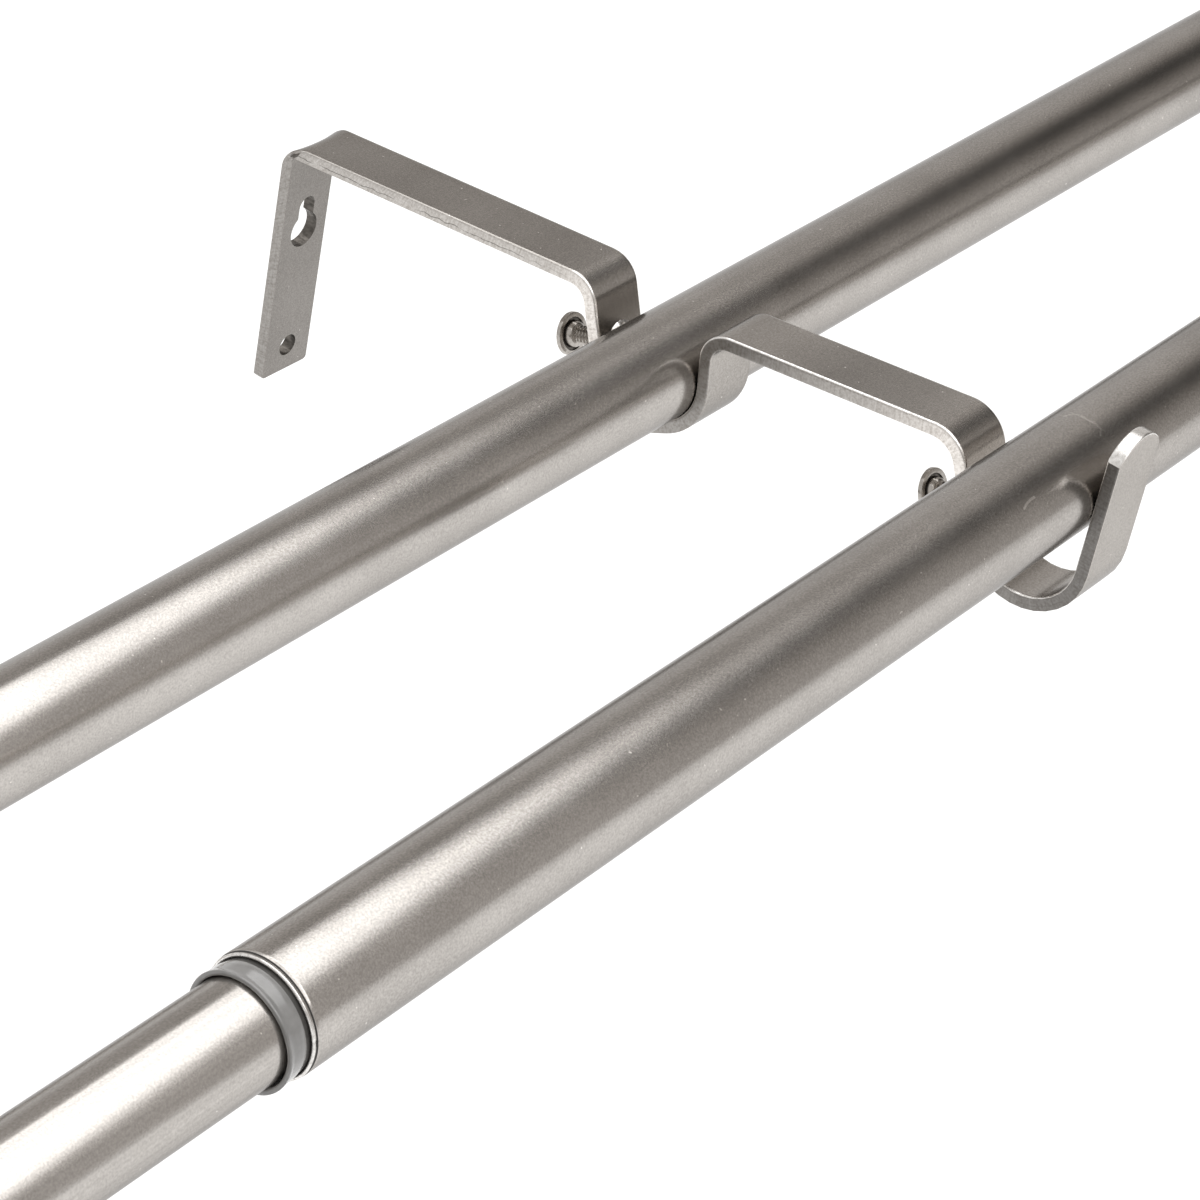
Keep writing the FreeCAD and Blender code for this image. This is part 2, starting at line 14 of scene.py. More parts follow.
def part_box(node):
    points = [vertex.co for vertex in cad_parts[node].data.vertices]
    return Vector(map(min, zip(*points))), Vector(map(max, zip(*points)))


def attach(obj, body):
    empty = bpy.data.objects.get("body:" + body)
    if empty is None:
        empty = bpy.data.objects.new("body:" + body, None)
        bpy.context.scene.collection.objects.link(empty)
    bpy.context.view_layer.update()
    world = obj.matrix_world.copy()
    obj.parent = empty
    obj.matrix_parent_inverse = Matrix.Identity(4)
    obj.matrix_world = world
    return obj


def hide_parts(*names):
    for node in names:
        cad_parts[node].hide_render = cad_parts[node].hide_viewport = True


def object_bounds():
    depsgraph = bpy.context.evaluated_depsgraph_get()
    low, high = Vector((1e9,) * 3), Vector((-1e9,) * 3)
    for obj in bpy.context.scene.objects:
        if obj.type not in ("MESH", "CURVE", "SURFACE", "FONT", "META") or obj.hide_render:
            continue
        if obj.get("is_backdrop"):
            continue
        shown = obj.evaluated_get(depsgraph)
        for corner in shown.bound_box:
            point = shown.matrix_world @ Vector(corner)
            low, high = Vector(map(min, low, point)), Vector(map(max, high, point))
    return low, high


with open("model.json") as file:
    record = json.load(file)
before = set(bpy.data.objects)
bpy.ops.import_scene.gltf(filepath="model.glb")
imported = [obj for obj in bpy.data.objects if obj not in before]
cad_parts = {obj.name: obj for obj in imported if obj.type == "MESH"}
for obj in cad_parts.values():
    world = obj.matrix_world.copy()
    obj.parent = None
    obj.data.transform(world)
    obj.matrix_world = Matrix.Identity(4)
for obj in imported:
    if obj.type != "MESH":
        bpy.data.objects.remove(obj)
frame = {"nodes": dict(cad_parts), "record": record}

Material = bpy.types.Material
Piece = bpy.types.Object
Socket = bpy.types.NodeSocket
Pair = tuple[float, float]
Triple = tuple[float, float, float]
Pairs = tuple[Pair, ...]
Outline = list[Pair]
Names = tuple[str, str]

LOG = logging.getLogger("curtain_pole")
MM = 0.001
EVEN = (1.0, 1.0, 1.0)
ALONG_POLES = Vector((1, 0, 0))
# A turned piece is nowhere thinner than this, and corners nearer than this become one, in metres
LEAST_RADIUS = 1e-6
WELD_DISTANCE = 2e-6
CUTTER_STEPS = 48
# The run of bar that the levels along it are written for, in centimetres
BAR_RUN = 31.0


class Row(Enum):
    """The two poles, named from the wall outwards."""

    REAR = "rear"
    FRONT = "front"


class End(Enum):
    """The two brackets, named as seen by someone who faces the wall."""

    LEFT = "left"
    RIGHT = "right"


class Space(Enum):
    """What a pattern follows: the piece, or the way along the bar and through it."""

    PIECE = "Object"
    BAR = "UV"


class BarSlot(IntEnum):
    """Material slots of a bracket."""

    FACE = 0
    EDGE = 1
    # Painted shade on the walls of the holes and on the floor of the pressed dimple
    HOLE = 2
    # Bright steel with painted highlights: the tip, the rounded corners and the burrs
    RIM = 3


class TubeSlot(IntEnum):
    """Material slots of a tube."""

    WALL = 0
    # Bright cut ends, partly a painted glint
    RIM = 1
    # Painted shade in the groove beside each rolled rim
    GROOVE = 2


class GroovedSlot(IntEnum):
    """Material slots of a screw or sleeve, which has one groove with painted shade."""

    BODY = 0
    GROOVE = 1


# Mesh tools


def deselect_all() -> None:
    """Leave no object selected."""
    bpy.ops.object.select_all(action="DESELECT")


def make_active(piece: Piece) -> None:
    """Select one object alone and make it the active one."""
    deselect_all()
    piece.select_set(True)
    bpy.context.view_layer.objects.active = piece


def rename(piece: Piece, name: str) -> Piece:
    """Give an object and its mesh the same name.

    Args:
        piece: The object.
        name: The new name.

    Returns:
        The same object.
    """
    piece.name = name
    piece.data.name = name
    return piece


def apply_place(piece: Piece) -> None:
    """Move an object's place, turn and scale into its mesh."""
    make_active(piece)
    bpy.ops.object.transform_apply(location=True, rotation=True, scale=True)


def place_turning(piece: Piece, start: Vector, along: Vector) -> None:
    """Move a turned piece so that its Z axis lies along a direction.

    Args:
        piece: A piece turned about Z.
        start: Where the height zero goes.
        along: Direction of the axis.
    """
    turned = along.to_track_quat("Z", "Y").to_matrix().to_4x4()
    piece.matrix_world = Matrix.Translation(start) @ turned
    apply_place(piece)


def make_block(size: Triple, middle: Vector) -> Piece:
    """Make a block to cut with.

    Args:
        size: In millimetres.
        middle: Its middle, in metres.

    Returns:
        The block.
    """
    deselect_all()
    bpy.ops.mesh.primitive_cube_add(size=1, location=(0, 0, 0))
    block = bpy.context.object
    block.scale = [side * MM for side in size]
    block.location = middle
    apply_place(block)
    return block


def make_rod(diameter: float, length: float, middle: Vector, axis: Vector) -> Piece:
    """Make a round rod to cut with.

    Args:
        diameter: In millimetres.
        length: In millimetres.
        middle: Its middle, in metres.
        axis: Its direction.

    Returns:
        The rod.
    """
    deselect_all()
    bpy.ops.mesh.primitive_cylinder_add(
        vertices=CUTTER_STEPS, radius=diameter / 2 * MM, depth=length * MM, location=(0, 0, 0)
    )
    rod = bpy.context.object
    place_turning(rod, middle, axis)
    return rod


def turn_on_lathe(name: str, profile: Outline, steps: int) -> Piece:
    """Turn a profile about the Z axis, ring by ring.

    Args:
        name: The new piece's name.
        profile: Pairs of height and radius in millimetres, in order along the surface.
        steps: Number of straight stretches around the axis.

    Returns:
        The turned piece. A profile that ends where it starts gives a closed ring.
    """
    rings = [(height * MM, max(radius * MM, LEAST_RADIUS)) for height, radius in profile]
    height, radius = rings[0]
    deselect_all()
    bpy.ops.mesh.primitive_circle_add(vertices=steps, radius=radius, location=(0, 0, 0))
    piece = rename(bpy.context.object, name)
    bpy.ops.object.mode_set(mode="EDIT")
    bpy.ops.mesh.select_all(action="SELECT")
    bpy.ops.transform.translate(value=(0, 0, height))
    for next_height, next_radius in rings[1:]:
        rise = (0, 0, next_height - height)
        bpy.ops.mesh.extrude_edges_move(TRANSFORM_OT_translate={"value": rise})
        scale = next_radius / radius
        bpy.ops.transform.resize(value=(scale, scale, 1), center_override=(0, 0, next_height))
        height, radius = next_height, next_radius
    bpy.ops.mesh.select_all(action="SELECT")
    bpy.ops.mesh.remove_doubles(threshold=WELD_DISTANCE)
    bpy.ops.mesh.normals_make_consistent(inside=False)
    bpy.ops.object.mode_set(mode="OBJECT")
    return piece


def smooth(piece: Piece, degrees: float) -> None:
    """Shade a piece smooth, with edges sharper than an angle left sharp."""
    make_active(piece)
    bpy.ops.object.shade_smooth_by_angle(angle=math.radians(degrees))


def add_finishes(piece: Piece, *finishes: Material) -> None:
    """Give a piece its material slots, in order."""
    for finish in finishes:
        piece.data.materials.append(finish)


def cut_away(piece: Piece, cutter: Piece, slot: int = 0) -> None:
    """Cut one mesh out of another and delete the cutter.

    Args:
        piece: The piece that is cut.
        cutter: The mesh that is cut out of it.
        slot: Material slot of the piece for the walls of the cut.
    """
    add_finishes(cutter, *piece.data.materials)
    for polygon in cutter.data.polygons:
        polygon.material_index = slot
    make_active(piece)
    cut = piece.modifiers.new("cut", "BOOLEAN")
    cut.operation = "DIFFERENCE"
    cut.solver = "EXACT"
    cut.object = cutter
    bpy.ops.object.modifier_apply(modifier=cut.name)
    bpy.data.objects.remove(cutter, do_unlink=True)


def round_length(distance: float, radius: float) -> float:
    """How far a rounded edge lies below the face at a distance from the edge.

    Args:
        distance: Distance from the edge, zero or more.
        radius: Radius of the rounding.

    Returns:
        The depth below the face, zero past the rounding.
    """
    if distance >= radius:
        return 0.0
    return radius - math.sqrt(max(0.0, radius**2 - (radius - distance) ** 2))


# Finishes


@dataclass(frozen=True)
class Pattern:
    """Cloudy noise.

    Attributes:
        scale: Its fineness.
        detail: Number of finer layers.
        stretch: Scale on each axis.
        space: What it follows.
    """

    scale: float
    detail: float
    stretch: Triple = EVEN
    space: Space = Space.PIECE


@dataclass(frozen=True)
class Relief:
    """How deep a pattern is pressed into the surface, in metres, and how strongly."""

    height: float
    strength: float


class Nodes:
    """Short ways to add nodes to a tree, for the finishes and for the room."""

    def __init__(self, tree: bpy.types.NodeTree) -> None:
        """Keep the tree that the nodes go into."""
        self.tree = tree

    def put(self, target: Socket, value: object) -> None:
        """Link an output to an input, or set the input to a number, vector or colour."""
        if isinstance(value, Socket):
            self.tree.links.new(value, target)
        else:
            target.default_value = value

    def add(self, kind: str, *values: object, **settings: object) -> bpy.types.Node:
        """Add a node.

        Args:
            kind: The node's type name.
            *values: What goes into its inputs, in order.
            **settings: Its properties.

        Returns:
            The new node.
        """
        node = self.tree.nodes.new(kind)
        for key, value in settings.items():
            setattr(node, key, value)
        for target, value in zip(node.inputs, values):
            self.put(target, value)
        return node

    def fill(self, node: bpy.types.Node, **values: object) -> None:
        """Fill a node's inputs by name, with underscores for spaces."""
        for key, value in values.items():
            self.put(node.inputs[key.replace("_", " ")], value)

    def math(self, operation: str, *values: object) -> Socket:
        """One sum on sockets and numbers."""
        return self.add("ShaderNodeMath", *values, operation=operation).outputs["Value"]

    def vectors(self, operation: str, first: object, second: object) -> Socket:
        """One sum on two vectors.

        Args:
            operation: The node's operation name.
            first: First vector.
            second: Second vector, or a number socket that stands for three equal ones.

        Returns:
            The result, which is a number for a dot product or a distance.
        """
        node = self.add("ShaderNodeVectorMath", first, second, operation=operation)
        is_number = operation in ("DOT_PRODUCT", "DISTANCE")
        return node.outputs["Value" if is_number else "Vector"]

    def mix(self, factor: object, low: object, high: object, blend: str = "MIX") -> Socket:
        """Mix two colours.

        Args:
            factor: How much of the second colour.
            low: First colour, a socket or three numbers.
            high: Second colour, a socket or three numbers.
            blend: The node's blend type.

        Returns:
            The mixed colour.
        """
        node = self.add("ShaderNodeMix", factor, data_type="RGBA", blend_type=blend)
        for target, color in zip(node.inputs[6:8], (low, high)):
            self.put(target, (*color, 1.0) if isinstance(color, tuple) else color)
        return node.outputs[2]


class FinishNodes(Nodes):
    """The nodes of one material."""

    def __init__(self, name: str) -> None:
        """Make a material with an empty surface shader."""
        self.material = bpy.data.materials.new(name)
        self.material.use_nodes = True
        super().__init__(self.material.node_tree)
        self.shader = self.tree.nodes["Principled BSDF"]

    def coordinates(self, stretch: Triple = EVEN, space: Space = Space.PIECE) -> Socket:
        """Scaled coordinates of the piece.

        Args:
            stretch: Scale on each axis.
            space: What they follow.

        Returns:
            The vector output.
        """
        place = self.add("ShaderNodeTexCoord").outputs[space.value]
        mapping = self.add("ShaderNodeMapping", place)
        self.fill(mapping, Scale=stretch)
        return mapping.outputs["Vector"]

    def split(self, vector: Socket) -> bpy.types.NodeOutputs:
        """The X, Y and Z of a vector, by name."""
        return self.add("ShaderNodeSeparateXYZ", vector).outputs

    def noise(self, pattern: Pattern) -> Socket:
        """The value of a pattern, around one half."""
        place = self.coordinates(pattern.stretch, pattern.space)
        node = self.add("ShaderNodeTexNoise", place)
        self.fill(node, Scale=pattern.scale, Detail=pattern.detail)
        return node.outputs["Fac"]

    def blend(self, first: Socket, second: Socket, share: float) -> Socket:
        """Add two patterns up, with a share of the second."""
        kept = self.math("MULTIPLY", first, 1 - share)
        return self.math("ADD", kept, self.math("MULTIPLY", second, share))

    def ramp(self, value: Socket, stops: Pairs) -> Socket:
        """Map a value through grey stops.

        Args:
            value: The input.
            stops: Pairs of position and grey level, in order.

        Returns:
            The mapped value.
        """
        node = self.add("ShaderNodeValToRGB", value)
        band = node.color_ramp
        for element, (position, level) in zip(band.elements, (stops[0], stops[-1])):
            element.position = position
            element.color = (level, level, level, 1)
        for position, level in stops[1:-1]:
            band.elements.new(position).color = (level, level, level, 1)
        return node.outputs["Color"]

    def along_bar(self, levels: Pairs) -> Socket:
        """Levels along the bar, whose UV map runs along it in centimetres.

        Args:
            levels: Pairs of distance along the bar and level, in order.

        Returns:
            The level.
        """
        run = self.split(self.coordinates(space=Space.BAR))["X"]
        stops = tuple((place / BAR_RUN, level) for place, level in levels)
        return self.ramp(self.math("DIVIDE", run, BAR_RUN), stops)

    def feed(self, **values: object) -> None:
        """Fill the surface shader's own sockets, named with underscores for spaces."""
        self.fill(self.shader, **values)

    def vary_roughness(self, pattern: Socket, least: float, spread: float) -> None:
        """Let a pattern raise the roughness above its least value."""
        self.feed(Roughness=self.math("MULTIPLY_ADD", pattern, spread, least))

    def bump(self, height: Socket, relief: Relief) -> None:
        """Press a height pattern into the surface."""
        node = self.add("ShaderNodeBump")
        self.fill(node, Height=height, Distance=relief.height, Strength=relief.strength)
        self.feed(Normal=node.outputs["Normal"])


@dataclass(frozen=True)
class Finish:
    """A surface finish."""

    name: str

    def build(self) -> Material:
        """Build the material.

        Returns:
            The material.
        """
        nodes = FinishNodes(self.name)
        self.paint(nodes)
        return nodes.material

    def paint(self, nodes: FinishNodes) -> None:
        """Add the finish's own nodes."""
        raise NotImplementedError


@dataclass(frozen=True)
class Scratch:
    """A fine pale mark on a tube's outside.

    Attributes:
        path: Its corners, as distance along the tube and height above its axis, in metres.
        width: Half its width in metres.
        strength: How plainly it shows, from 0 to 1.
    """

    path: Pairs
    width: float
    strength: float


@dataclass(frozen=True)
class SatinNickel(Finish):
    """Satin plated steel: a fine blasted grain, faint long streaks and a few bright specks."""

    color: Triple = (0.556, 0.530, 0.503)
    dark: Triple = (0.418, 0.396, 0.374)
    rim_tone: float = 0.55
    # Painted shade and reflection along the bar, where levels are given; none by default
    levels: Pairs = ()
    roughness: float = 0.215
    roughness_spread: float = 0.06
    cloud: Pattern = Pattern(70.0, 3.0)
    grain: Pattern = Pattern(2900.0, 4.0)
    grain_stops: Pairs = ((0.38, 0.0), (0.62, 1.0))
    grain_relief: Relief = Relief(0.00001, 0.4)
    streaks: Pattern = Pattern(60.0, 4.0)
    streak_share: float = 0.3
    specks: Pattern = Pattern(1150.0, 1.0)
    speck_color: Triple = (0.86, 0.83, 0.79)
    speck_level: float = 0.78
    speck_fade: float = 0.03
    scratches: tuple[Scratch, ...] = ()
    scratch_axis: float = 0.062
    scratch_limit: float = -0.16

    def paint(self, nodes: FinishNodes) -> None:
        """Add grain, streaks, specks and scratches.

        Args:
            nodes: The material's nodes.
        """
        fine = nodes.noise(self.grain)
        blend = nodes.blend(fine, nodes.noise(self.streaks), self.streak_share)
        tone = nodes.mix(nodes.ramp(blend, self.grain_stops), self.dark, self.color)
        # Painted shade and reflection: the tone is scaled by the levels along the bar
        if self.levels:
            tone = nodes.mix(1.0, tone, nodes.along_bar(self.levels), "MULTIPLY")
        stops = ((self.speck_level, 0.0), (self.speck_level + self.speck_fade, 1.0))
        marks = nodes.ramp(nodes.noise(self.specks), stops)
        for scratch in self.scratches:
            marks = nodes.math("MAXIMUM", marks, self.show_scratch(nodes, scratch))
        least = self.roughness - self.roughness_spread / 2
        nodes.vary_roughness(nodes.noise(self.cloud), least, self.roughness_spread)
        nodes.bump(fine, self.grain_relief)
        nodes.feed(
            Base_Color=nodes.mix(marks, tone, self.speck_color),
            Metallic=1.0,
            Specular_Tint=(self.rim_tone, self.rim_tone, self.rim_tone, 1.0),
        )

    def show_scratch(self, nodes: FinishNodes, scratch: Scratch) -> Socket:
        """Where one scratch shows, on the room side of the tube.

        Args:
            nodes: The material's nodes.
            scratch: The mark.

        Returns:
            Its strength on the mark and zero elsewhere.
        """
        place = nodes.split(nodes.coordinates())
        flat = nodes.add("ShaderNodeCombineXYZ", place["X"], place["Z"])
        nearest = 1.0
        for start, stop in zip(scratch.path, scratch.path[1:]):
            miss = self.distance(nodes, flat.outputs["Vector"], start, stop)
            nearest = nodes.math("MINIMUM", nearest, miss)
        on_line = nodes.math("LESS_THAN", nearest, scratch.width)
        front = nodes.math("LESS_THAN", place["Y"], self.scratch_limit)
        return nodes.math("MULTIPLY", nodes.math("MULTIPLY", on_line, front), scratch.strength)

    def distance(self, nodes: FinishNodes, point: Socket, start: Pair, stop: Pair) -> Socket:
        """Distance from a point to a straight piece of a mark.

        Args:
            nodes: The material's nodes.
            point: Distance along the tube and height, as a vector.
            start: The piece's first corner.
            stop: Its second corner.

        Returns:
            The distance in metres.
        """
        span = Vector((stop[0] - start[0], stop[1] - start[1], 0))
        away = nodes.vectors("SUBTRACT", point, (start[0], start[1] + self.scratch_axis, 0))
        along = nodes.vectors("DOT_PRODUCT", away, span / span.length_squared)
        share = nodes.math("MAXIMUM", nodes.math("MINIMUM", along, 1.0), 0.0)
        return nodes.vectors("DISTANCE", away, nodes.vectors("MULTIPLY", span, share))


@dataclass(frozen=True)
class ShearedEdge(Finish):
    """The cut sides of the bar: a smooth sheared band, a torn band, and a broken line between.

    The levels along the bar are painted light and shade, for how the lamps and the room light
    each run: dark on the plate, light on the arms and legs, darkest on the hook. The cracks
    show mostly on the rear arm.
    """

    name: str = "sheared_edge"
    color: Triple = (0.90, 0.865, 0.825)
    dull: Triple = (0.60, 0.56, 0.52)
    crack_color: Triple = (0.075, 0.068, 0.06)
    roughness: float = 0.38
    # Painted light and shade along the bar, for how the lamps and the room light each run
    levels: Pairs = (
        *((0.0, 0.42), (4.9, 0.44), (5.9, 0.62), (11.4, 0.70), (12.4, 0.98), (13.6, 0.95)),
        *((14.6, 0.44), (17.0, 0.40), (18.6, 0.36), (21.2, 0.58), (23.2, 1.0), (24.6, 1.0)),
        *((25.4, 0.32), (27.2, 0.24), (28.4, 0.23), (30.2, 0.24)),
    )
    cracks: Pairs = (
        *((0.0, 0.25), (4.9, 0.3), (5.7, 1.0), (10.0, 1.0), (11.2, 0.45), (12.6, 0.15)),
        *((14.6, 0.25), (17.6, 0.0), (24.6, 0.0), (26.0, 0.3), (30.2, 0.2)),
    )
    line_stops: Pairs = ((0.0, 1.0), (0.03, 0.8), (0.06, 0.0))
    line_least: float = 0.22
    line_spread: float = 0.75
    line: Pattern = Pattern(1.0, 5.0, (3.2, 0.0, 1.0), Space.BAR)
    breaks: Pattern = Pattern(1.0, 4.0, (1.3, 0.0, 1.0), Space.BAR)
    break_stops: Pairs = ((0.43, 0.0), (0.51, 0.8))
    marks: Pattern = Pattern(1.0, 3.0, (26.0, 0.5, 1.0), Space.BAR)
    mottle: Pattern = Pattern(2300.0, 4.0)
    mottle_share: float = 0.55
    mottle_stops: Pairs = ((0.36, 0.0), (0.6, 1.0))
    crack_depth: float = 0.8
    relief: Relief = Relief(0.00006, 0.8)

    def paint(self, nodes: FinishNodes) -> None:
        """Add the mottled bands and the broken line between them.

        Args:
            nodes: The material's nodes.
        """
        through = nodes.split(nodes.coordinates(space=Space.BAR))["Y"]
        wander = nodes.noise(self.line)
        border = nodes.math("MULTIPLY_ADD", wander, self.line_spread, self.line_least)
        offset = nodes.math("ABSOLUTE", nodes.math("SUBTRACT", through, border))
        breaks = nodes.ramp(nodes.noise(self.breaks), self.break_stops)
        crack = nodes.math("MULTIPLY", nodes.ramp(offset, self.line_stops), breaks)
        crack = nodes.math("MULTIPLY", crack, nodes.along_bar(self.cracks))
        marks, mottle = nodes.noise(self.marks), nodes.noise(self.mottle)
        blend = nodes.blend(marks, mottle, self.mottle_share)
        tone = nodes.mix(nodes.ramp(blend, self.mottle_stops), self.dull, self.color)
        # Painted light and shade: the tone is scaled by the levels along the bar
        shaded = nodes.mix(1.0, tone, nodes.along_bar(self.levels), "MULTIPLY")
        height = nodes.math("SUBTRACT", blend, nodes.math("MULTIPLY", crack, self.crack_depth))
        nodes.bump(height, self.relief)
        nodes.feed(
            Base_Color=nodes.mix(crack, shaded, self.crack_color),
            Metallic=1.0,
            Roughness=self.roughness,
        )


@dataclass(frozen=True)
class BrightSteel(Finish):
    """Plated steel with a soft gloss and slight soiling, for screws; in other colours it is also
    the painted shade in holes and the bright cut rims and burrs with their painted glint.
    """

    color: Triple = (0.46, 0.435, 0.405)
    soil: Triple = (0.36, 0.335, 0.31)
    roughness: float = 0.17
    roughness_spread: float = 0.12
    cloud: Pattern = Pattern(1500.0, 4.0)
    soil_stops: Pairs = ((0.30, 1.0), (0.60, 0.0))
    relief: Relief = Relief(0.00001, 0.5)

    def paint(self, nodes: FinishNodes) -> None:
        """Add the soiling, which is rougher than the clean steel.

        Args:
            nodes: The material's nodes.
        """
        cloud = nodes.noise(self.cloud)
        soiled = nodes.ramp(cloud, self.soil_stops)
        nodes.vary_roughness(soiled, self.roughness, self.roughness_spread)
        nodes.bump(cloud, self.relief)
        nodes.feed(Base_Color=nodes.mix(soiled, self.color, self.soil), Metallic=1.0)


@dataclass(frozen=True)
class MilkyPlastic(Finish):
    """Half-clear moulded plastic with faint turning lines and a soft gloss."""

    color: Triple
    shade: Triple
    roughness: float
    roughness_spread: float = 0.16
    clearness: float = 0.0
    refraction: float = 1.5
    gloss: float = 0.25
    gloss_roughness: float = 0.16
    cloud: Pattern = Pattern(420.0, 4.0)
    cloud_stops: Pairs = ((0.35, 0.0), (0.65, 1.0))
    rings: Pattern = Pattern(1400.0, 2.0, (1.0, 0.12, 0.12))
    relief: Relief = Relief(0.00002, 0.6)

    def paint(self, nodes: FinishNodes) -> None:
        """Add the cloudy colour, the turning lines and the gloss.

        Args:
            nodes: The material's nodes.
        """
        cloud = nodes.noise(self.cloud)
        least = self.roughness - self.roughness_spread / 2
        nodes.vary_roughness(cloud, least, self.roughness_spread)
        nodes.bump(nodes.noise(self.rings), self.relief)
        nodes.feed(
            Base_Color=nodes.mix(nodes.ramp(cloud, self.cloud_stops), self.shade, self.color),
            Transmission_Weight=self.clearness,
            IOR=self.refraction,
            Coat_Weight=self.gloss,
            Coat_Roughness=self.gloss_roughness,
        )


FRONT_TUBE_SCRATCHES = (
    Scratch(
        ((-0.2249, 0.0073), (-0.2236, 0.0076), (-0.2222, 0.0077), (-0.2211, 0.0077)), 0.00013, 0.8
    ),
    Scratch(((-0.2214, 0.0076), (-0.2183, 0.0073), (-0.2148, 0.0072)), 0.00004, 0.2),
    Scratch(
        (
            *((-0.1966, 0.0089), (-0.1971, 0.0095), (-0.1965, 0.0094), (-0.1971, 0.0090)),
            *((-0.1983, 0.0088), (-0.1979, 0.0083), (-0.1972, 0.0074)),
        ),
        0.00006,
        0.38,
    ),
    Scratch(((-0.3120, -0.0040), (-0.3090, -0.0026)), 0.00006, 0.4),
)
TUBE_FINISH = SatinNickel("satin_nickel_tube", scratches=FRONT_TUBE_SCRATCHES)
SLIDE_FINISH = SatinNickel(
    "satin_nickel_slide", streaks=Pattern(1300.0, 4.0, (0.008, 1.0, 1.0)), streak_share=0.45
)
BAR_FINISH = SatinNickel(
    "satin_nickel_bar",
    color=(0.689, 0.654, 0.616),
    dark=(0.520, 0.490, 0.459),
    roughness=0.225,
    speck_level=0.76,
    # Painted shade and reflection: darker where a run reflects dark surroundings, lighter where it
    # reflects light ones
    levels=(
        *((0.0, 0.47), (4.6, 0.42), (5.5, 0.72), (12.2, 0.72), (13.3, 0.58), (14.5, 0.70)),
        *((16.9, 0.66), (18.0, 0.78), (19.0, 0.84), (20.4, 0.61), (21.8, 0.63), (23.0, 0.85)),
        *((23.8, 1.0), (24.8, 0.80), (27.0, 0.88), (30.2, 0.89)),
    ),
)
# Painted shade: near-black steel for the walls of the holes, the floor of the pressed dimple and
# the ring under each screw head
HOLE_SHADE_FINISH = BrightSteel(
    "punched_wall_painted_shade",
    color=(0.145, 0.133, 0.121),
    soil=(0.07, 0.064, 0.058),
    roughness=0.34,
    cloud=Pattern(1500.0, 4.0, (1.0, 0.5, 1.0)),
)
# Bright cut steel, partly painted highlight: glints on the tube ends, the burrs round the clamp
# holes, the tip and the bar's rounded corners
RIM_GLINT_FINISH = BrightSteel(
    "cut_rim_painted_glint", color=(0.86, 0.845, 0.825), soil=(0.55, 0.53, 0.505), roughness=0.24
)
SLEEVE_FINISH = MilkyPlastic(
    "grey_sleeve",
    color=(0.30, 0.298, 0.293),
    shade=(0.25, 0.248, 0.243),
    roughness=0.22,
    clearness=0.2,
    gloss=0.65,
)
# Painted shade: near black, for the shadow line beside each tube's rolled rim and the gap behind
# each sleeve's collar
GROOVE_SHADE_FINISH = MilkyPlastic(
    "painted_groove_shade", color=(0.05, 0.047, 0.043), shade=(0.03, 0.028, 0.026), roughness=0.5
)
CAP_FINISH = MilkyPlastic(
    "grey_cap", color=(0.33, 0.32, 0.31), shade=(0.265, 0.256, 0.248), roughness=0.40
)


@dataclass
class Wardrobe:
    """All finishes, each built once."""

    tube: Material = field(default_factory=TUBE_FINISH.build)
    slide: Material = field(default_factory=SLIDE_FINISH.build)
    bar: Material = field(default_factory=BAR_FINISH.build)
    edge: Material = field(default_factory=ShearedEdge().build)
    hole_shade: Material = field(default_factory=HOLE_SHADE_FINISH.build)
    screw: Material = field(default_factory=BrightSteel("screw_steel_finish").build)
    rim: Material = field(default_factory=RIM_GLINT_FINISH.build)
    sleeve: Material = field(default_factory=SLEEVE_FINISH.build)
    groove_shade: Material = field(default_factory=GROOVE_SHADE_FINISH.build)
    cap: Material = field(default_factory=CAP_FINISH.build)


def middle_of(node: str) -> Vector:
    """Middle of a CAD node's box."""
    low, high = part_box(node)
    return (Vector(low) + Vector(high)) / 2


def dress_both(piece: Piece, ending: str, nodes: Names, bodies: Names) -> None:
    """Copy a finished piece to its twin's place, attach both to their bodies and hide the nodes
    they replace.

    Args:
        piece: The finished piece, in the first node's place.
        ending: What the pieces' names add to their nodes' names.
        nodes: The CAD nodes that the two replace.
        bodies: The bodies that they move with.
    """
    rename(piece, f"{nodes[0]}_{ending}")
    make_active(piece)
    bpy.ops.object.duplicate(linked=False)
    twin = rename(bpy.context.object, f"{nodes[1]}_{ending}")
    twin.location = middle_of(nodes[1]) - middle_of(nodes[0])
    apply_place(twin)
    for finished, node, body in zip((piece, twin), nodes, bodies):
        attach(finished, body)
        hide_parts(node)
        LOG.info("%s: %d faces on %s", finished.name, len(finished.data.polygons), body)


# The bent bar


@dataclass
class Bend:
    """One bend of the bar, seen from its side.

    Attributes:
        angle: How far the bar turns, in degrees, positive away from the poles.
        first_radius: Radius on the side that the poles rest on.
        second_radius: Radius on the other side.
    """

    angle: float
    first_radius: float
    second_radius: float

    @property
    def arc(self) -> float:
        """Length of the bend on the side that the poles rest on."""
        return math.radians(abs(self.angle)) * self.first_radius


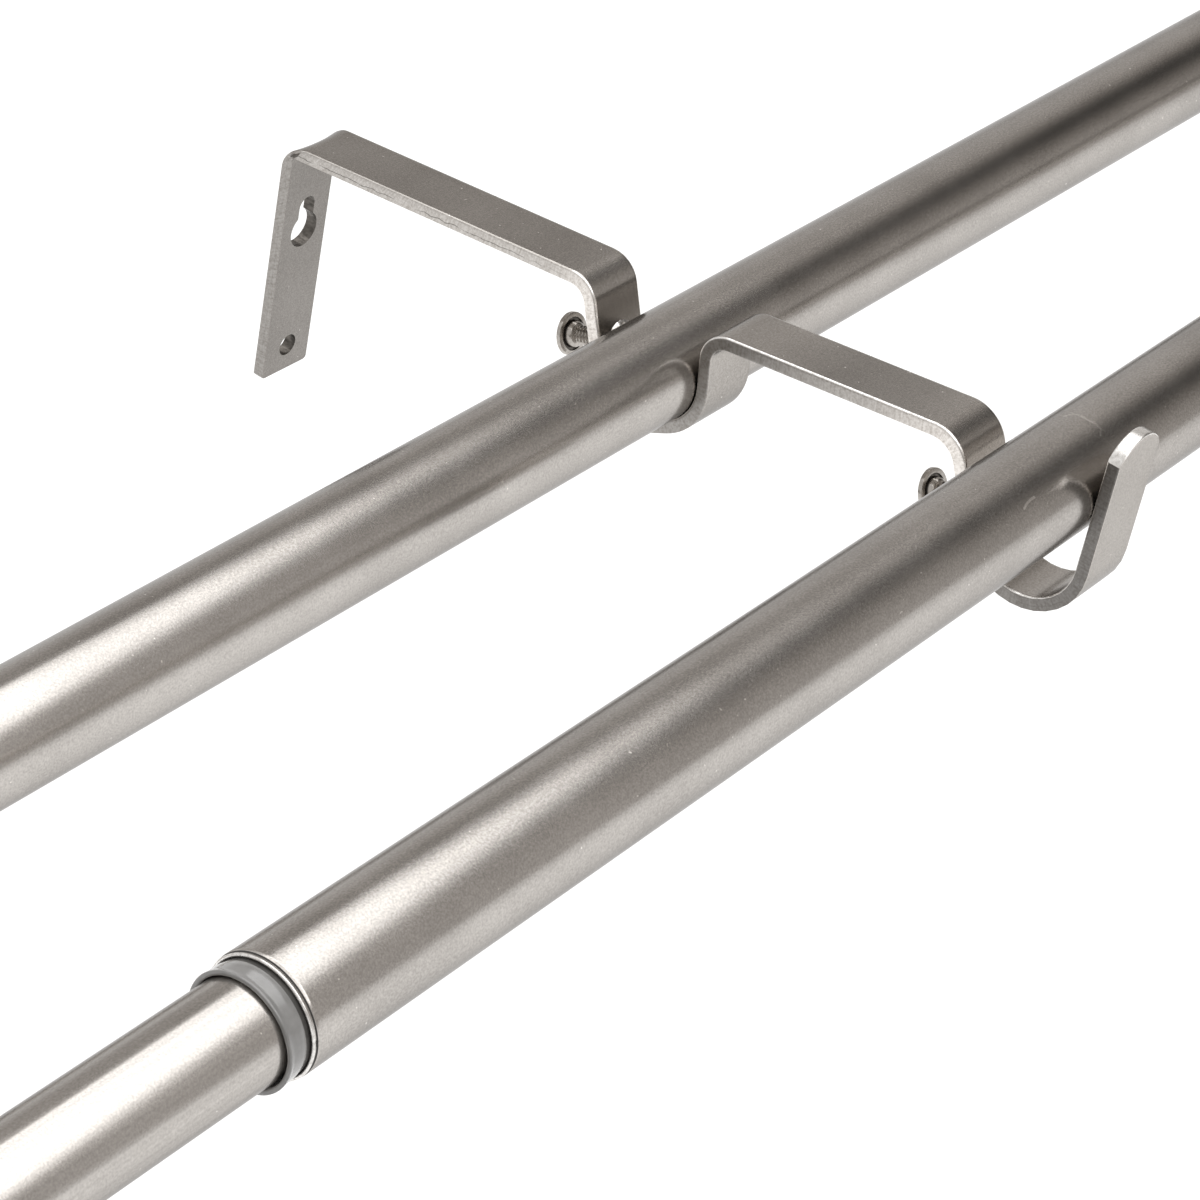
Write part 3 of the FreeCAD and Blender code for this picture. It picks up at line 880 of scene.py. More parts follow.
@dataclass
class BarShape:
    """Sizes of the bar in millimetres and degrees, from the plate's foot to the hook's tip."""

    width: float = 12.7
    thickness: float = 2.5
    below_hole: float = 5.7
    straights: tuple[float, ...] = (46.6, 62.7, 12.8, 3.6, 5.8, 42.4, 13.0, 25.95)
    bends: tuple[Bend, ...] = (
        Bend(84.3, 6.0, 0.8),
        Bend(75.7, 6.0, 3.5),
        Bend(-97.0, 8.0, 10.5),
        Bend(-70.3, 9.8, 12.3),
        Bend(89.7, 6.0, 3.5),
        Bend(73.6, 7.5, 5.0),
        Bend(-156.0, 10.0, 12.5),
    )
    legs: tuple[int, ...] = (2, 6)
    steps_per_bend: int = 14
    columns: int = 26
    rows: int = 8
    weld: float = 0.015
    face_rounding: float = 0.42
    back_rounding: float = 0.16
    end_rounding: float = 0.3
    foot_rounding: float = 0.9
    foot_margin: float = 1.02
    foot_turns: tuple[int, ...] = (90, 55, 25, 0)
    tip_drop: float = 3.8
    tip_shares: tuple[float, ...] = (0.0, 0.2, 0.4, 0.6, 0.8, 1.0)
    tip_turns: tuple[int, ...] = (30, 60, 90)
    wall_hole: float = 4.5
    keyhole_rise: float = 26.2
    keyhole_head: float = 7.2
    keyhole_slot: float = 4.2
    keyhole_slot_rise: float = 5.2
    clamp_hole: float = 3.6
    clamp_places: tuple[float, ...] = (9.4, 8.2)

    @property
    def half(self) -> float:
        """Half the bar's width."""
        return self.width / 2

    def tip_fall(self, x: float) -> float:
        """How far the tip's arc lies below its top, at a distance from the bar's middle."""
        radius = (self.half**2 + self.tip_drop**2) / (2 * self.tip_drop)
        return radius - math.sqrt(radius**2 - min(abs(x), self.half) ** 2)

    def end_curve(self, degrees: float) -> Pair:
        """How far the rounding of an end reaches along and across the bar, at an angle of it."""
        turn = math.radians(degrees)
        return self.end_rounding * math.sin(turn), self.end_rounding * (1 - math.cos(turn))


@dataclass
class PressMark:
    """What the press did to the sharp bend, in millimetres at the middle of the bend.

    The dimple's place and length are shares of the bend, its depth and width of the thickness.
    """

    least_slip: float = 0.05
    saddle: float = 0.5
    pinch: float = 0.2
    swell: float = 0.34
    dimple: float = 1.3
    dimple_place: float = 0.73
    dimple_length: float = 0.17
    dimple_depth: float = 0.36
    dimple_width: float = 0.28
    reach: float = 2.6


@dataclass
class Station:
    """One cross-section of the bar.

    Attributes:
        first: Point on the side that the poles rest on, in the plane of Y and Z.
        second: Point on the other side.
        ahead: Direction along the bar.
        run: Distance along the bar.
        press: How much the press marks the bar here, from 0 to 1.
        dimple: How deep the dimple in its sides is here, from 0 to 1.
        arch: Share of the tip's arc reached here, from 0 to 1.
        advance: How far the section is pushed along the bar.
        end_depth: Rounding of the bar's end here.
        is_foot: Whether it is cut by the foot's round corners.
    """

    first: Vector
    second: Vector
    ahead: Vector
    run: float
    press: float = 0.0
    dimple: float = 0.0
    arch: float = 0.0
    advance: float = 0.0
    end_depth: float = 0.0
    is_foot: bool = False


def heading_vector(degrees: float) -> Vector:
    """Unit vector in the plane of Y and Z at an angle from +Y towards +Z."""
    return Vector((math.cos(math.radians(degrees)), math.sin(math.radians(degrees))))


def bell(distance: float, width: float) -> float:
    """A bell curve, 1 at its middle."""
    return math.exp(-((distance / width) ** 2))


@dataclass
class BentBar:
    """The solid bar of a bracket, with its bends, rounded edges and press marks."""

    shape: BarShape
    mark: PressMark = field(default_factory=PressMark)
    stations: list[Station] = field(default_factory=list)
    leg_holes: list[tuple[Vector, float]] = field(default_factory=list)

    def lay_out(self) -> None:
        """Work out every cross-section and where the clamp screws pass."""
        shape = self.shape
        heading = 90.0
        here = Vector((0.0, -shape.below_hole))
        run = 0.0
        self.add_foot(here)
        for index, length in enumerate(shape.straights):
            ahead = heading_vector(heading)
            if index in shape.legs:
                place = shape.clamp_places[shape.legs.index(index)]
                self.leg_holes.append((here + ahead * place, heading - 90))
            there = here + ahead * length
            run += length
            if index < len(shape.bends):
                bend = shape.bends[index]
                self.add_bend(bend, there, heading, run)
                run += bend.arc
                heading += bend.angle
                here = self.stations[-1].first.copy()
        self.add_tip(there, heading, run)

    def add_bend(self, bend: Bend, start: Vector, heading: float, run: float) -> None:
        """Add the cross-sections of one bend.

        Args:
            bend: The bend.
            start: Where it starts, on the side of the poles.
            heading: Direction of the bar before it, in degrees.
            run: Distance along the bar before it.
        """
        shape, mark = self.shape, self.mark
        way = math.copysign(1.0, bend.angle)
        inward = heading_vector(heading + 90)
        tightened = bend.first_radius - way * shape.thickness - bend.second_radius
        slip = tightened * math.tan(math.radians(abs(bend.angle) / 2))
        centre = start + inward * way * bend.first_radius
        second_start = start + inward * shape.thickness + heading_vector(heading) * slip
        second_centre = second_start + inward * way * bend.second_radius
        for step in range(shape.steps_per_bend + 1):
            part = step / shape.steps_per_bend
            turned = heading + bend.angle * part
            out = heading_vector(turned - 90 * way)
            first = centre + out * bend.first_radius
            second = second_centre + out * bend.second_radius
            station = Station(first, second, heading_vector(turned), run + bend.arc * part)
            if slip > mark.least_slip:
                station.press = math.sin(math.pi * part)
                station.dimple = bell(part - mark.dimple_place, mark.dimple_length)
            self.stations.append(station)

    def add_foot(self, foot: Vector) -> None:
        """Add the cross-sections of the rounded foot.

        Args:
            foot: The foot's point on the wall side.
        """
        shape = self.shape
        up = Vector((0.0, 1.0))
        through = Vector((-shape.thickness, 0.0))
        for turn in shape.foot_turns:
            reach, depth = shape.end_curve(turn)
            rise = shape.end_rounding - reach
            first = foot + up * rise
            station = Station(first, first + through, up, rise, end_depth=depth, is_foot=True)
            self.stations.append(station)
        rise = (shape.foot_rounding + shape.end_rounding) * shape.foot_margin
        first = foot + up * rise
        self.stations.append(Station(first, first + through, up, rise))

    def add_tip(self, tip: Vector, heading: float, run: float) -> None:
        """Add the cross-sections of the tip, cut to a shallow arc.

        Args:
            tip: The tip's point on the side of the pole.
            heading: Direction of the bar there, in degrees.
            run: Distance along the bar at the tip.
        """
        shape = self.shape
        ahead = heading_vector(heading)
        through = heading_vector(heading + 90) * shape.thickness
        base = shape.tip_drop + shape.end_rounding
        for share in shape.tip_shares:
            back = base - shape.tip_drop * share
            first = tip - ahead * back
            self.stations.append(Station(first, first + through, ahead, run - back, arch=share))
        first = tip - ahead * shape.end_rounding
        for turn in shape.tip_turns:
            push, depth = shape.end_curve(turn)
            station = Station(first, first + through, ahead, run, arch=1.0, advance=push)
            station.end_depth = depth
            self.stations.append(station)

    def locate(self, station: Station, x: float, through: float) -> Vector:
        """Where one vertex of a cross-section goes.

        Args:
            station: The cross-section.
            x: Distance from the bar's middle.
            through: Share of the thickness, 0 on the side of the poles and 1 on the other.

        Returns:
            The point in millimetres, with the bar's middle at X zero.
        """
        shape, mark = self.shape, self.mark
        edge = shape.half - abs(x)
        across = station.second - station.first
        saddle = mark.saddle * station.press * (1 - (x / shape.half) ** 2)
        first_depth = max(round_length(edge, shape.face_rounding), station.end_depth) + saddle
        second_depth = max(round_length(edge, shape.back_rounding), station.end_depth)
        depth = first_depth + (across.length - first_depth - second_depth) * through
        slide = station.advance - station.arch * shape.tip_fall(x)
        if station.is_foot:
            slide += round_length(edge, shape.foot_rounding)
        point = station.first + across.normalized() * depth + station.ahead * slide
        near = max(0.0, 1 - edge / mark.reach) ** 2
        dimple = mark.dimple * bell(through - mark.dimple_depth, mark.dimple_width)
        aside = mark.swell * through - mark.pinch * (1 - through)
        swell = near * (station.press * aside - dimple * station.dimple)
        return Vector((x + math.copysign(swell, x), point.x, point.y))

    def build(self, name: str, x: float) -> Piece:
        """Build the bar by extruding its cross-section from the foot to the tip.

        Args:
            name: The piece's name.
            x: Where the bar's middle lies, in metres.

        Returns:
            The solid bar, without its holes.
        """
        shape = self.shape
        self.lay_out()
        deselect_all()
        bpy.ops.mesh.primitive_grid_add(
            x_subdivisions=shape.columns, y_subdivisions=shape.rows, size=1
        )
        piece = rename(bpy.context.object, name)
        bpy.ops.object.mode_set(mode="EDIT")
        self.add_layers(bmesh.from_edit_mesh(piece.data))
        for index, station in enumerate(self.stations):
            if index:
                bpy.ops.mesh.extrude_region_move(TRANSFORM_OT_translate={"value": (0, 0, 0)})
            self.move_section(bmesh.from_edit_mesh(piece.data), station)
            bmesh.update_edit_mesh(piece.data)
        self.map_surface(bmesh.from_edit_mesh(piece.data))
        bmesh.update_edit_mesh(piece.data)
        bpy.ops.mesh.select_all(action="SELECT")
        bpy.ops.mesh.remove_doubles(threshold=shape.weld)
        bpy.ops.mesh.normals_make_consistent(inside=False)
        bpy.ops.object.mode_set(mode="OBJECT")
        piece.scale = (MM, MM, MM)
        piece.location = (x, 0, 0)
        apply_place(piece)
        return piece

    def add_layers(self, mesh: bmesh.types.BMesh) -> None:
        """Note each vertex's place in the cross-section, which every extrusion keeps.

        Args:
            mesh: The flat grid, one unit wide and deep.
        """
        share = mesh.verts.layers.float.new("share_across")
        through = mesh.verts.layers.float.new("share_through")
        mesh.verts.layers.float.new("run")
        for vertex in mesh.verts:
            vertex[share] = vertex.co.x + 0.5
            vertex[through] = vertex.co.y + 0.5

    def move_section(self, mesh: bmesh.types.BMesh, station: Station) -> None:
        """Put the selected vertices, the newest cross-section, in their places.

        Args:
            mesh: The bar so far.
            station: The cross-section.
        """
        share = mesh.verts.layers.float["share_across"]
        through = mesh.verts.layers.float["share_through"]
        run = mesh.verts.layers.float["run"]
        for vertex in mesh.verts:
            if vertex.select:
                x = -self.shape.half * math.cos(math.pi * vertex[share])
                vertex.co = self.locate(station, x, vertex[through])
                vertex[run] = station.run

    def map_surface(self, mesh: bmesh.types.BMesh) -> None:
        """Map the surface: along the bar in centimetres, and through its thickness from 0 to 1.

        Args:
            mesh: The whole bar.
        """
        through = mesh.verts.layers.float["share_through"]
        run = mesh.verts.layers.float["run"]
        layer = mesh.loops.layers.uv.verify()
        for face in mesh.faces:
            for loop in face.loops:
                loop[layer].uv = (loop.vert[run] / 10, loop.vert[through])


@dataclass
class Bracket:
    """A wall bracket: the bent bar with its holes, burrs and sheared sides.

    Lengths are in millimetres, places along the bar in centimetres, places through it from 0 to 1
    and the slants are parts of a face's normal. The tip's place is in metres.
    """

    shape: BarShape = field(default_factory=BarShape)
    plate_cut: float = 6.0
    clamp_cut: float = 8.0
    burr_radius: float = 4.1
    burr_height: float = 0.45
    burr_root: float = 0.3
    burr_gap: float = 0.1
    burr_crest: Pairs = ((0.45, 0.3), (0.9, 0.62), (1.0, 0.85), (0.8, 1.2))
    burr_foot: Pair = (0.1, 0.4)
    burr_steps: int = 72
    burr_scale: float = 1400.0
    burr_seed: float = 3000.0
    burr_ragged: Triple = (0.05, 0.05, 0.45)
    side_band: float = 0.95
    side_slant: float = 0.6
    steep_slant: float = 0.86
    corner_slant: float = 0.3
    # Where shade is painted into the pressed dimple, and highlights on the rounded corners and the
    # tip's up-facing faces
    dimple_shade_run: Pair = (5.14, 5.45)
    dimple_shade_through: Pair = (0.1, 0.62)
    corner_glint_from: float = 11.6
    corner_glint_through: float = 0.06
    tip_glint_slant: float = 0.25
    tip_glint_place: Pair = (-0.17, 0.0705)
    sharp_angle: float = 32.0

    def cut_plate(self, piece: Piece, x: float) -> None:
        """Cut the wall hole and the keyhole.

        Args:
            piece: The bar.
            x: Its middle, in metres.
        """
        shape = self.shape
        middle_y = -shape.thickness / 2 * MM
        holes = (
            (shape.wall_hole, 0.0),
            (shape.keyhole_head, shape.keyhole_rise),
            (shape.keyhole_slot, shape.keyhole_rise + shape.keyhole_slot_rise),
        )
        # The walls of every cut here take the painted shade of the hole finish
        for diameter, rise in holes:
            middle = Vector((x, middle_y, rise * MM))
            rod = make_rod(diameter, self.plate_cut, middle, Vector((0, 1, 0)))
            cut_away(piece, rod, BarSlot.HOLE)
        middle = Vector((x, middle_y, (shape.keyhole_rise + shape.keyhole_slot_rise / 2) * MM))
        size = (shape.keyhole_slot, self.plate_cut, shape.keyhole_slot_rise)
        cut_away(piece, make_block(size, middle), BarSlot.HOLE)

    def raise_burr(self, place: Vector, axis: Vector, finish: Material) -> Piece:
        """Build the ragged ring that tapping pushed up round a clamp hole.

        Args:
            place: The hole's middle on the side of the pole, in metres.
            axis: Direction towards the pole.
            finish: The ring's bright finish, which paints its glint.

        Returns:
            The ring.
        """
        inside = self.shape.clamp_hole / 2 + self.burr_gap
        outside, root = self.burr_radius, -self.burr_root
        outline = [(root, outside), (0.0, outside)]
        outline += [(self.burr_height * share, outside - step) for share, step in self.burr_crest]
        outline += [(self.burr_foot[0], inside + self.burr_foot[1])]
        outline += [(root, inside), (root, outside)]
        ring = turn_on_lathe("burr", outline, self.burr_steps)
        for vertex in ring.data.vertices:
            if vertex.co.z > 0:
                ragged = noise.noise(vertex.co * self.burr_scale + place * self.burr_seed)
                for index, share in enumerate(self.burr_ragged):
                    vertex.co[index] *= 1 + share * ragged
        place_turning(ring, place, axis)
        add_finishes(ring, finish)
        return ring

    def slot_at(self, place: Vector, center: Vector, normal: Vector) -> BarSlot:
        """Which finish a face of the bar takes.

        Args:
            place: Its place along the bar and through it.
            center: Its middle, from the bar's middle line.
            normal: Its direction.

        Returns:
            Rim for the tip, bright cut steel with a painted highlight on its up-facing faces, and
            for the painted highlight along the rounded corners; hole for the painted shade on the
            floor of the pressed dimple; edge for the sheared sides.
        """
        run, through = place
        aside = abs(normal.x)
        at_side = abs(abs(center.x) - self.shape.half * MM) < self.side_band * MM
        is_past = center.y < self.tip_glint_place[0] and center.z > self.tip_glint_place[1]
        is_corner = aside > self.corner_slant
        # Painted highlight: the tip's up-facing faces take the bright rim finish
        if normal.z > self.tip_glint_slant and is_past:
            return BarSlot.RIM
        # Painted shade: the floor of the pressed dimple takes the dark hole finish
        in_dimple_shade = self.dimple_shade_through[0] < through < self.dimple_shade_through[1]
        if self.dimple_shade_run[0] < run < self.dimple_shade_run[1] and in_dimple_shade and is_corner:
            return BarSlot.HOLE
        if not at_side:
            return BarSlot.FACE
        # Painted highlight: the rounded corners on the poles' side, from a point along the bar,
        # take the bright rim finish
        has_corner_glint = through < self.corner_glint_through and run > self.corner_glint_from
        if aside <= self.steep_slant and is_corner and has_corner_glint:
            return BarSlot.RIM
        return BarSlot.EDGE if aside > self.side_slant else BarSlot.FACE

    def mark_sides(self, piece: Piece, x: float) -> None:
        """Give the sheared sides their finish, paint shade into the pressed dimple and paint
        highlights on the rounded corners and the tip.

        Args:
            piece: The bar.
            x: Its middle, in metres.
        """
        places = piece.data.uv_layers.active.data
        for polygon in piece.data.polygons:
            spots = [places[loop].uv for loop in polygon.loop_indices]
            place = sum(spots, Vector((0, 0))) / len(spots)
            center = polygon.center - Vector((x, 0, 0))
            polygon.material_index = self.slot_at(place, center, polygon.normal)

    def build(self, wardrobe: Wardrobe) -> None:
        """Build and dress the left bracket, then copy it to the right.

        Args:
            wardrobe: The finishes.
        """
        left, right = (f"bracket_{end.value}" for end in End)
        x = middle_of(left).x
        bar = BentBar(self.shape)
        piece = bar.build("bar", x)
        add_finishes(piece, wardrobe.bar, wardrobe.edge, wardrobe.hole_shade, wardrobe.rim)
        self.mark_sides(piece, x)
        self.cut_plate(piece, x)
        burrs = []
        for place, heading in bar.leg_holes:
            axis = Vector((0, *heading_vector(heading)))
            middle = Vector((x, place.x * MM, place.y * MM))
            rod = make_rod(self.shape.clamp_hole, self.clamp_cut, middle, axis)
            # The clamp hole's wall takes the painted shade of the hole finish
            cut_away(piece, rod, BarSlot.HOLE)
            # The burr takes the bright rim finish, a painted glint
            burrs.append(self.raise_burr(middle, axis, wardrobe.rim))
        make_active(piece)
        for burr in burrs:
            burr.select_set(True)
        bpy.ops.object.join()
        smooth(piece, self.sharp_angle)
        dress_both(piece, "bar", (left, right), ("mounted", "mounted"))


# Clamp screws


@dataclass
class ClampScrew:
    """A domed screw with a cross recess and a threaded shank, sizes in millimetres.

    The boss form is how far before the boss's end, and how far below its radius, each ring lies.
    """

    row: Row
    head: float = 8.0
    rim: float = 0.8
    rim_edge: float = 0.16
    rim_edge_share: float = 0.3
    dome: float = 1.1
    dome_steps: int = 12
    ring: float = 6.2
    ring_depth: float = 0.3
    ring_slope: float = 0.12
    boss: float = 4.9
    boss_length: float = 1.4
    boss_fillet: float = 0.1
    boss_form: Pairs = ((0.75, 0.06), (0.4, 0.22), (0.12, 0.5))
    shank: float = 3.5
    pitch: float = 0.7
    thread_depth: float = 0.4
    thread_slope: float = 2.5
    thread_floor: float = 0.12
    thread_end: float = 0.01
    rings_per_turn: int = 8
    steps: int = 64
    tip_chamfer: float = 0.4
    cross_depth: float = 1.2
    cross_width: float = 0.8
    cross_length: float = 4.2
    groove_start: float = 0.05
    groove_length: float = 0.45
    groove_margin: float = 0.02
    sharp_angle: float = 35.0

    def axis(self) -> Vector:
        """Direction of the screw from head to tip, as its joint travels."""
        joints = {joint["name"]: joint for joint in frame["record"]["behaviour"]["joints"]}
        return Vector(joints[f"{self.row.value}_screw_left_travel"]["axis"]).normalized()

    def profile(self, length: float) -> Outline:
        """The turned outline from the dome's top to the tip.

        Args:
            length: Whole length of the screw.

        Returns:
            Pairs of height and radius.
        """
        head, boss, edge = self.head / 2, self.boss / 2, self.rim_edge
        curve = (self.head**2 / 4 + self.dome**2) / (2 * self.dome)
        outline = []
        for step in range(self.dome_steps + 1):
            radius = head * step / self.dome_steps
            outline.append((curve - math.sqrt(curve**2 - radius**2), radius))
        under = self.dome + self.rim
        corner = edge * self.rim_edge_share
        outline += [(under - edge, head), (under - corner, head - corner), (under, head - edge)]
        floor = under - self.ring_depth
        outline += [(under, self.ring / 2), (floor, self.ring / 2 - self.ring_slope)]
        outline += [(floor, boss + self.boss_fillet), (under + self.boss_fillet, boss)]
        boss_end = under + self.boss_length
        outline += [(boss_end - back, boss - sink) for back, sink in self.boss_form]
        outline.append((boss_end, self.shank / 2 - self.thread_depth))
        turns = (length - self.tip_chamfer - boss_end) / self.pitch
        count = int(turns * self.rings_per_turn)
        for ring in range(1, count + 1):
            outline.append((boss_end + turns * self.pitch * ring / count, self.shank / 2))
        return outline + [(length, self.shank / 2 - self.tip_chamfer), (length, 0.0)]

    def cut_thread(self, piece: Piece, stop: float) -> None:
        """Sink the helical thread into the plain shank.

        Args:
            piece: The screw, still along Z.
            stop: Height where the thread ends, in metres.
        """
        start = (self.dome + self.rim + self.boss_length) * MM
        for vertex in piece.data.vertices:
            radius = math.hypot(vertex.co.x, vertex.co.y)
            on_shank = abs(radius - self.shank / 2 * MM) <= LEAST_RADIUS
            if start < vertex.co.z < stop and on_shank:
                turn = math.atan2(vertex.co.y, vertex.co.x) / math.tau
                phase = (vertex.co.z / (self.pitch * MM) - turn) % 1.0
                rise = abs(phase - 0.5) * self.thread_slope - self.thread_floor
                sink = 1 - min(1.0, max(0.0, rise))
                scale = 1 - self.thread_depth * MM * sink / radius
                vertex.co.x *= scale
                vertex.co.y *= scale

    def span(self, axis: Vector) -> tuple[Vector, float]:
        """Where the dome's top lies and how long the screw is, from its node's box.

        Args:
            axis: Direction from head to tip.

        Returns:
            The top of the dome in metres, and the length in millimetres.
        """
        low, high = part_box(f"{self.row.value}_screw_left")
        half_head = self.head / 2 * MM
        top_y = high[1] - half_head * abs(axis.z) - self.dome * MM * axis.y
        top_z = low[2] + half_head * abs(axis.y) - self.dome * MM * axis.z
        flat = (self.shank / 2 - self.tip_chamfer) * abs(axis.z)
        shoulder = self.shank / 2 * abs(axis.z) - self.tip_chamfer * abs(axis.y)
        tip_y = low[1] + max(flat, shoulder) * MM
        return Vector(((low[0] + high[0]) / 2, top_y, top_z)), (tip_y - top_y) / axis.y / MM

    def paint_groove_shade(self, piece: Piece) -> None:
        """Paint shade on the floor of the ring under the head, with the near-black hole finish.

        Args:
            piece: The screw, still along Z.
        """
        low = (self.dome + self.rim - self.ring_depth - self.groove_start) * MM
        inner, outer = self.boss / 2 * MM, (self.ring / 2 - self.groove_margin) * MM
        for polygon in piece.data.polygons:
            in_ring = inner < math.hypot(polygon.center.x, polygon.center.y) < outer
            if in_ring and low < polygon.center.z < low + self.groove_length * MM:
                polygon.material_index = GroovedSlot.GROOVE

    def build(self, wardrobe: Wardrobe) -> None:
        """Build and dress the left screw, then copy it to the right.

        Args:
            wardrobe: The finishes.
        """
        left, right = (f"{self.row.value}_screw_{end.value}" for end in End)
        axis = self.axis()
        top, length = self.span(axis)
        piece = turn_on_lathe("screw", self.profile(length), self.steps)
        self.cut_thread(piece, (length - self.tip_chamfer + self.thread_end) * MM)
        wide, narrow = self.cross_length, self.cross_width
        for sides in ((wide, narrow), (narrow, wide)):
            cut_away(piece, make_block((*sides, 2 * self.cross_depth), Vector((0, 0, 0))))
        # The second slot is the painted shade of the ring under the head
        add_finishes(piece, wardrobe.screw, wardrobe.hole_shade)
        self.paint_groove_shade(piece)
        place_turning(piece, top, axis)
        smooth(piece, self.sharp_angle)
        bodies = (f"{left}_body", f"{right}_body")
        dress_both(piece, "turned", (left, right), bodies)


# Telescopic poles


@dataclass
class PolePart:
    """A piece turned about its pole's axis, sizes in millimetres."""

    sharp_angle: float = 40.0

    def length_of(self, node: str) -> float:
        """Length of a CAD node along the poles."""
        low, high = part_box(node)
        return (high[0] - low[0]) / MM

    def lay(self, piece: Piece, node: str) -> float:
        """Lay a turned piece in its CAD node's place.

        Args:
            piece: The piece, still along Z.
            node: The CAD node.

        Returns:
            Where its left end lies, in metres.
        """
        left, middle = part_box(node)[0][0], middle_of(node)
        place_turning(piece, Vector((left, middle.y, middle.z)), ALONG_POLES)
        return left


@dataclass
class Tube(PolePart):
    """A thin tube with a rim rolled slightly inwards at each end.

    The groove form is how far from the end, and how far below the outside, each ring lies.
    """

    diameter: float = 19.0
    wall: float = 0.7
    rim_radius: float = 0.31
    rim_sink: float = 0.06
    rim_length: float = 0.5
    rim_turn: int = 30
    rim_wave: float = 0.012
    rim_wave_scale: float = 220.0
    groove_form: Pairs = ((1.5, 0.0), (0.95, 0.0), (0.88, 0.05), (0.82, 0.2), (0.7, 0.22))
    groove_shade: Pair = (0.68, 0.87)
    inside_start: float = 1.6
    steps: int = 160
    runs: int = 14

    def profile(self, length: float) -> Outline:
        """The closed outline of the wall, with both rims.

        Args:
            length: Length of the tube.

        Returns:
            Pairs of height and radius.
        """
        outside = self.diameter / 2
        inside = outside - self.wall
        rim = self.rim_radius
        crown = outside - self.rim_sink - rim
        start = [(height, outside - sink) for height, sink in self.groove_form]
        for turn in range(0, 181, self.rim_turn):
            bend = math.radians(turn)
            start.append((rim - rim * math.sin(bend), crown + rim * math.cos(bend)))
        stop = [(length - height, radius) for height, radius in start]
        plain = start[0][0]
        along = [plain + (length - 2 * plain) * run / self.runs for run in range(1, self.runs)]
        seam = (self.inside_start, inside)
        outline = [seam] + start[::-1] + [(height, outside) for height in along] + stop
        outline += [(length - self.inside_start, inside)]
        return outline + [(height, inside) for height in reversed(along)] + [seam]

    def slot_at(self, from_end: float) -> TubeSlot:
        """Which finish a ring of faces takes, by its distance from the nearer end."""
        # The cut ends take the bright rim finish, partly a painted glint
        if from_end < self.rim_length:
            return TubeSlot.RIM
        # The band beside the rim takes painted shade
        return TubeSlot.GROOVE if self.groove_shade[0] < from_end < self.groove_shade[1] else TubeSlot.WALL

    def build(self, node: str, *finishes: Material) -> Piece:
        """Build the tube in its CAD node's place.

        Args:
            node: The CAD node.
            *finishes: Finish of the drawn wall, of the cut ends, bright with a painted glint, and
                       the painted shade of the groove beside them.

        Returns:
            The tube.
        """
        length = self.length_of(node)
        piece = turn_on_lathe("tube", self.profile(length), self.steps)
        add_finishes(piece, *finishes)
        for polygon in piece.data.polygons:
            from_end = min(polygon.center.z, length * MM - polygon.center.z) / MM
            polygon.material_index = self.slot_at(from_end)
        for vertex in piece.data.vertices:
            if min(vertex.co.z, length * MM - vertex.co.z) < self.rim_length * MM:
                around = Vector((vertex.co.x, vertex.co.y, 0)) * self.rim_wave_scale
                wave = 1 + self.rim_wave * noise.noise(around)
                vertex.co.x *= wave
                vertex.co.y *= wave
        self.lay(piece, node)
        smooth(piece, self.sharp_angle)
        return piece


@dataclass
class Sleeve(PolePart):
    """The plastic sleeve in an outer tube's mouth.

    Its collar sags a little on the neck, so the gap round the inner tube is wider below. The forms
    are how far from the sleeve's front each ring lies, with its radius in the mouth, and how far
    below the collar's or the neck's radius it lies behind.
    """

    neck: float = 8.77
    bore: float = 8.06
    collar: float = 9.1
    collar_length: float = 3.0
    mouth_depth: float = 2.5
    mouth_form: Pairs = ((1.6, 8.14), (0.7, 8.21), (0.25, 8.27), (0.08, 8.38), (0.0, 8.56))
    collar_form: Pairs = (
        *((0.02, 0.14), (0.08, 0.04), (0.2, 0.0), (0.42, 0.03), (0.6, 0.11)),
        *((1.0, 0.13), (2.2, 0.14), (2.75, 0.17), (3.0, 0.23)),
    )
    neck_form: Pairs = ((3.3, -0.03), (3.6, 0.0), (4.4, 0.0))
    neck_edge: float = 0.2
    sag: float = 0.2
    lip_share: float = 0.9
    lip_wave: float = 0.05
    lip_wave_scale: float = 900.0
    groove_gap: float = 0.25
    steps: int = 128

    def profile(self, length: float) -> Outline:
        """The closed outline of the wall.

        Args:
            length: Length of the sleeve.

        Returns:
            Pairs of height and radius.
        """
        neck, seam = self.neck, (self.mouth_depth, self.bore)
        outline = [seam, *self.mouth_form]
        outline += [(height, self.collar - sink) for height, sink in self.collar_form]
        outline += [(height, neck - sink) for height, sink in self.neck_form]
        outline += [(length - self.neck_edge, neck), (length, neck - self.neck_edge)]
        return outline + [(length, self.bore), seam]

    def build(self, node: str, *finishes: Material) -> Piece:
        """Build the sleeve in its CAD node's place.

        Args:
            node: The CAD node.
            *finishes: Its finish, and the painted shade of the groove behind its collar.

        Returns:
            The sleeve.
        """
        piece = turn_on_lathe("sleeve", self.profile(self.length_of(node)), self.steps)
        left = self.lay(piece, node)
        for vertex in piece.data.vertices:
            share = max(0.0, 1 - (vertex.co.x - left) / (self.collar_length * MM))
            vertex.co.z -= self.sag * MM * share
            if share > self.lip_share:
                wave = noise.noise(vertex.co * self.lip_wave_scale)
                vertex.co.x += self.lip_wave * MM * wave
        add_finishes(piece, *finishes)
        # Behind the collar, the gap to the tube takes painted shade
        behind = left + (self.collar_length + self.groove_gap) * MM
        for polygon in piece.data.polygons:
            is_behind = polygon.center.x > behind
            polygon.material_index = GroovedSlot.GROOVE if is_behind else GroovedSlot.BODY
        smooth(piece, self.sharp_angle)
        return piece


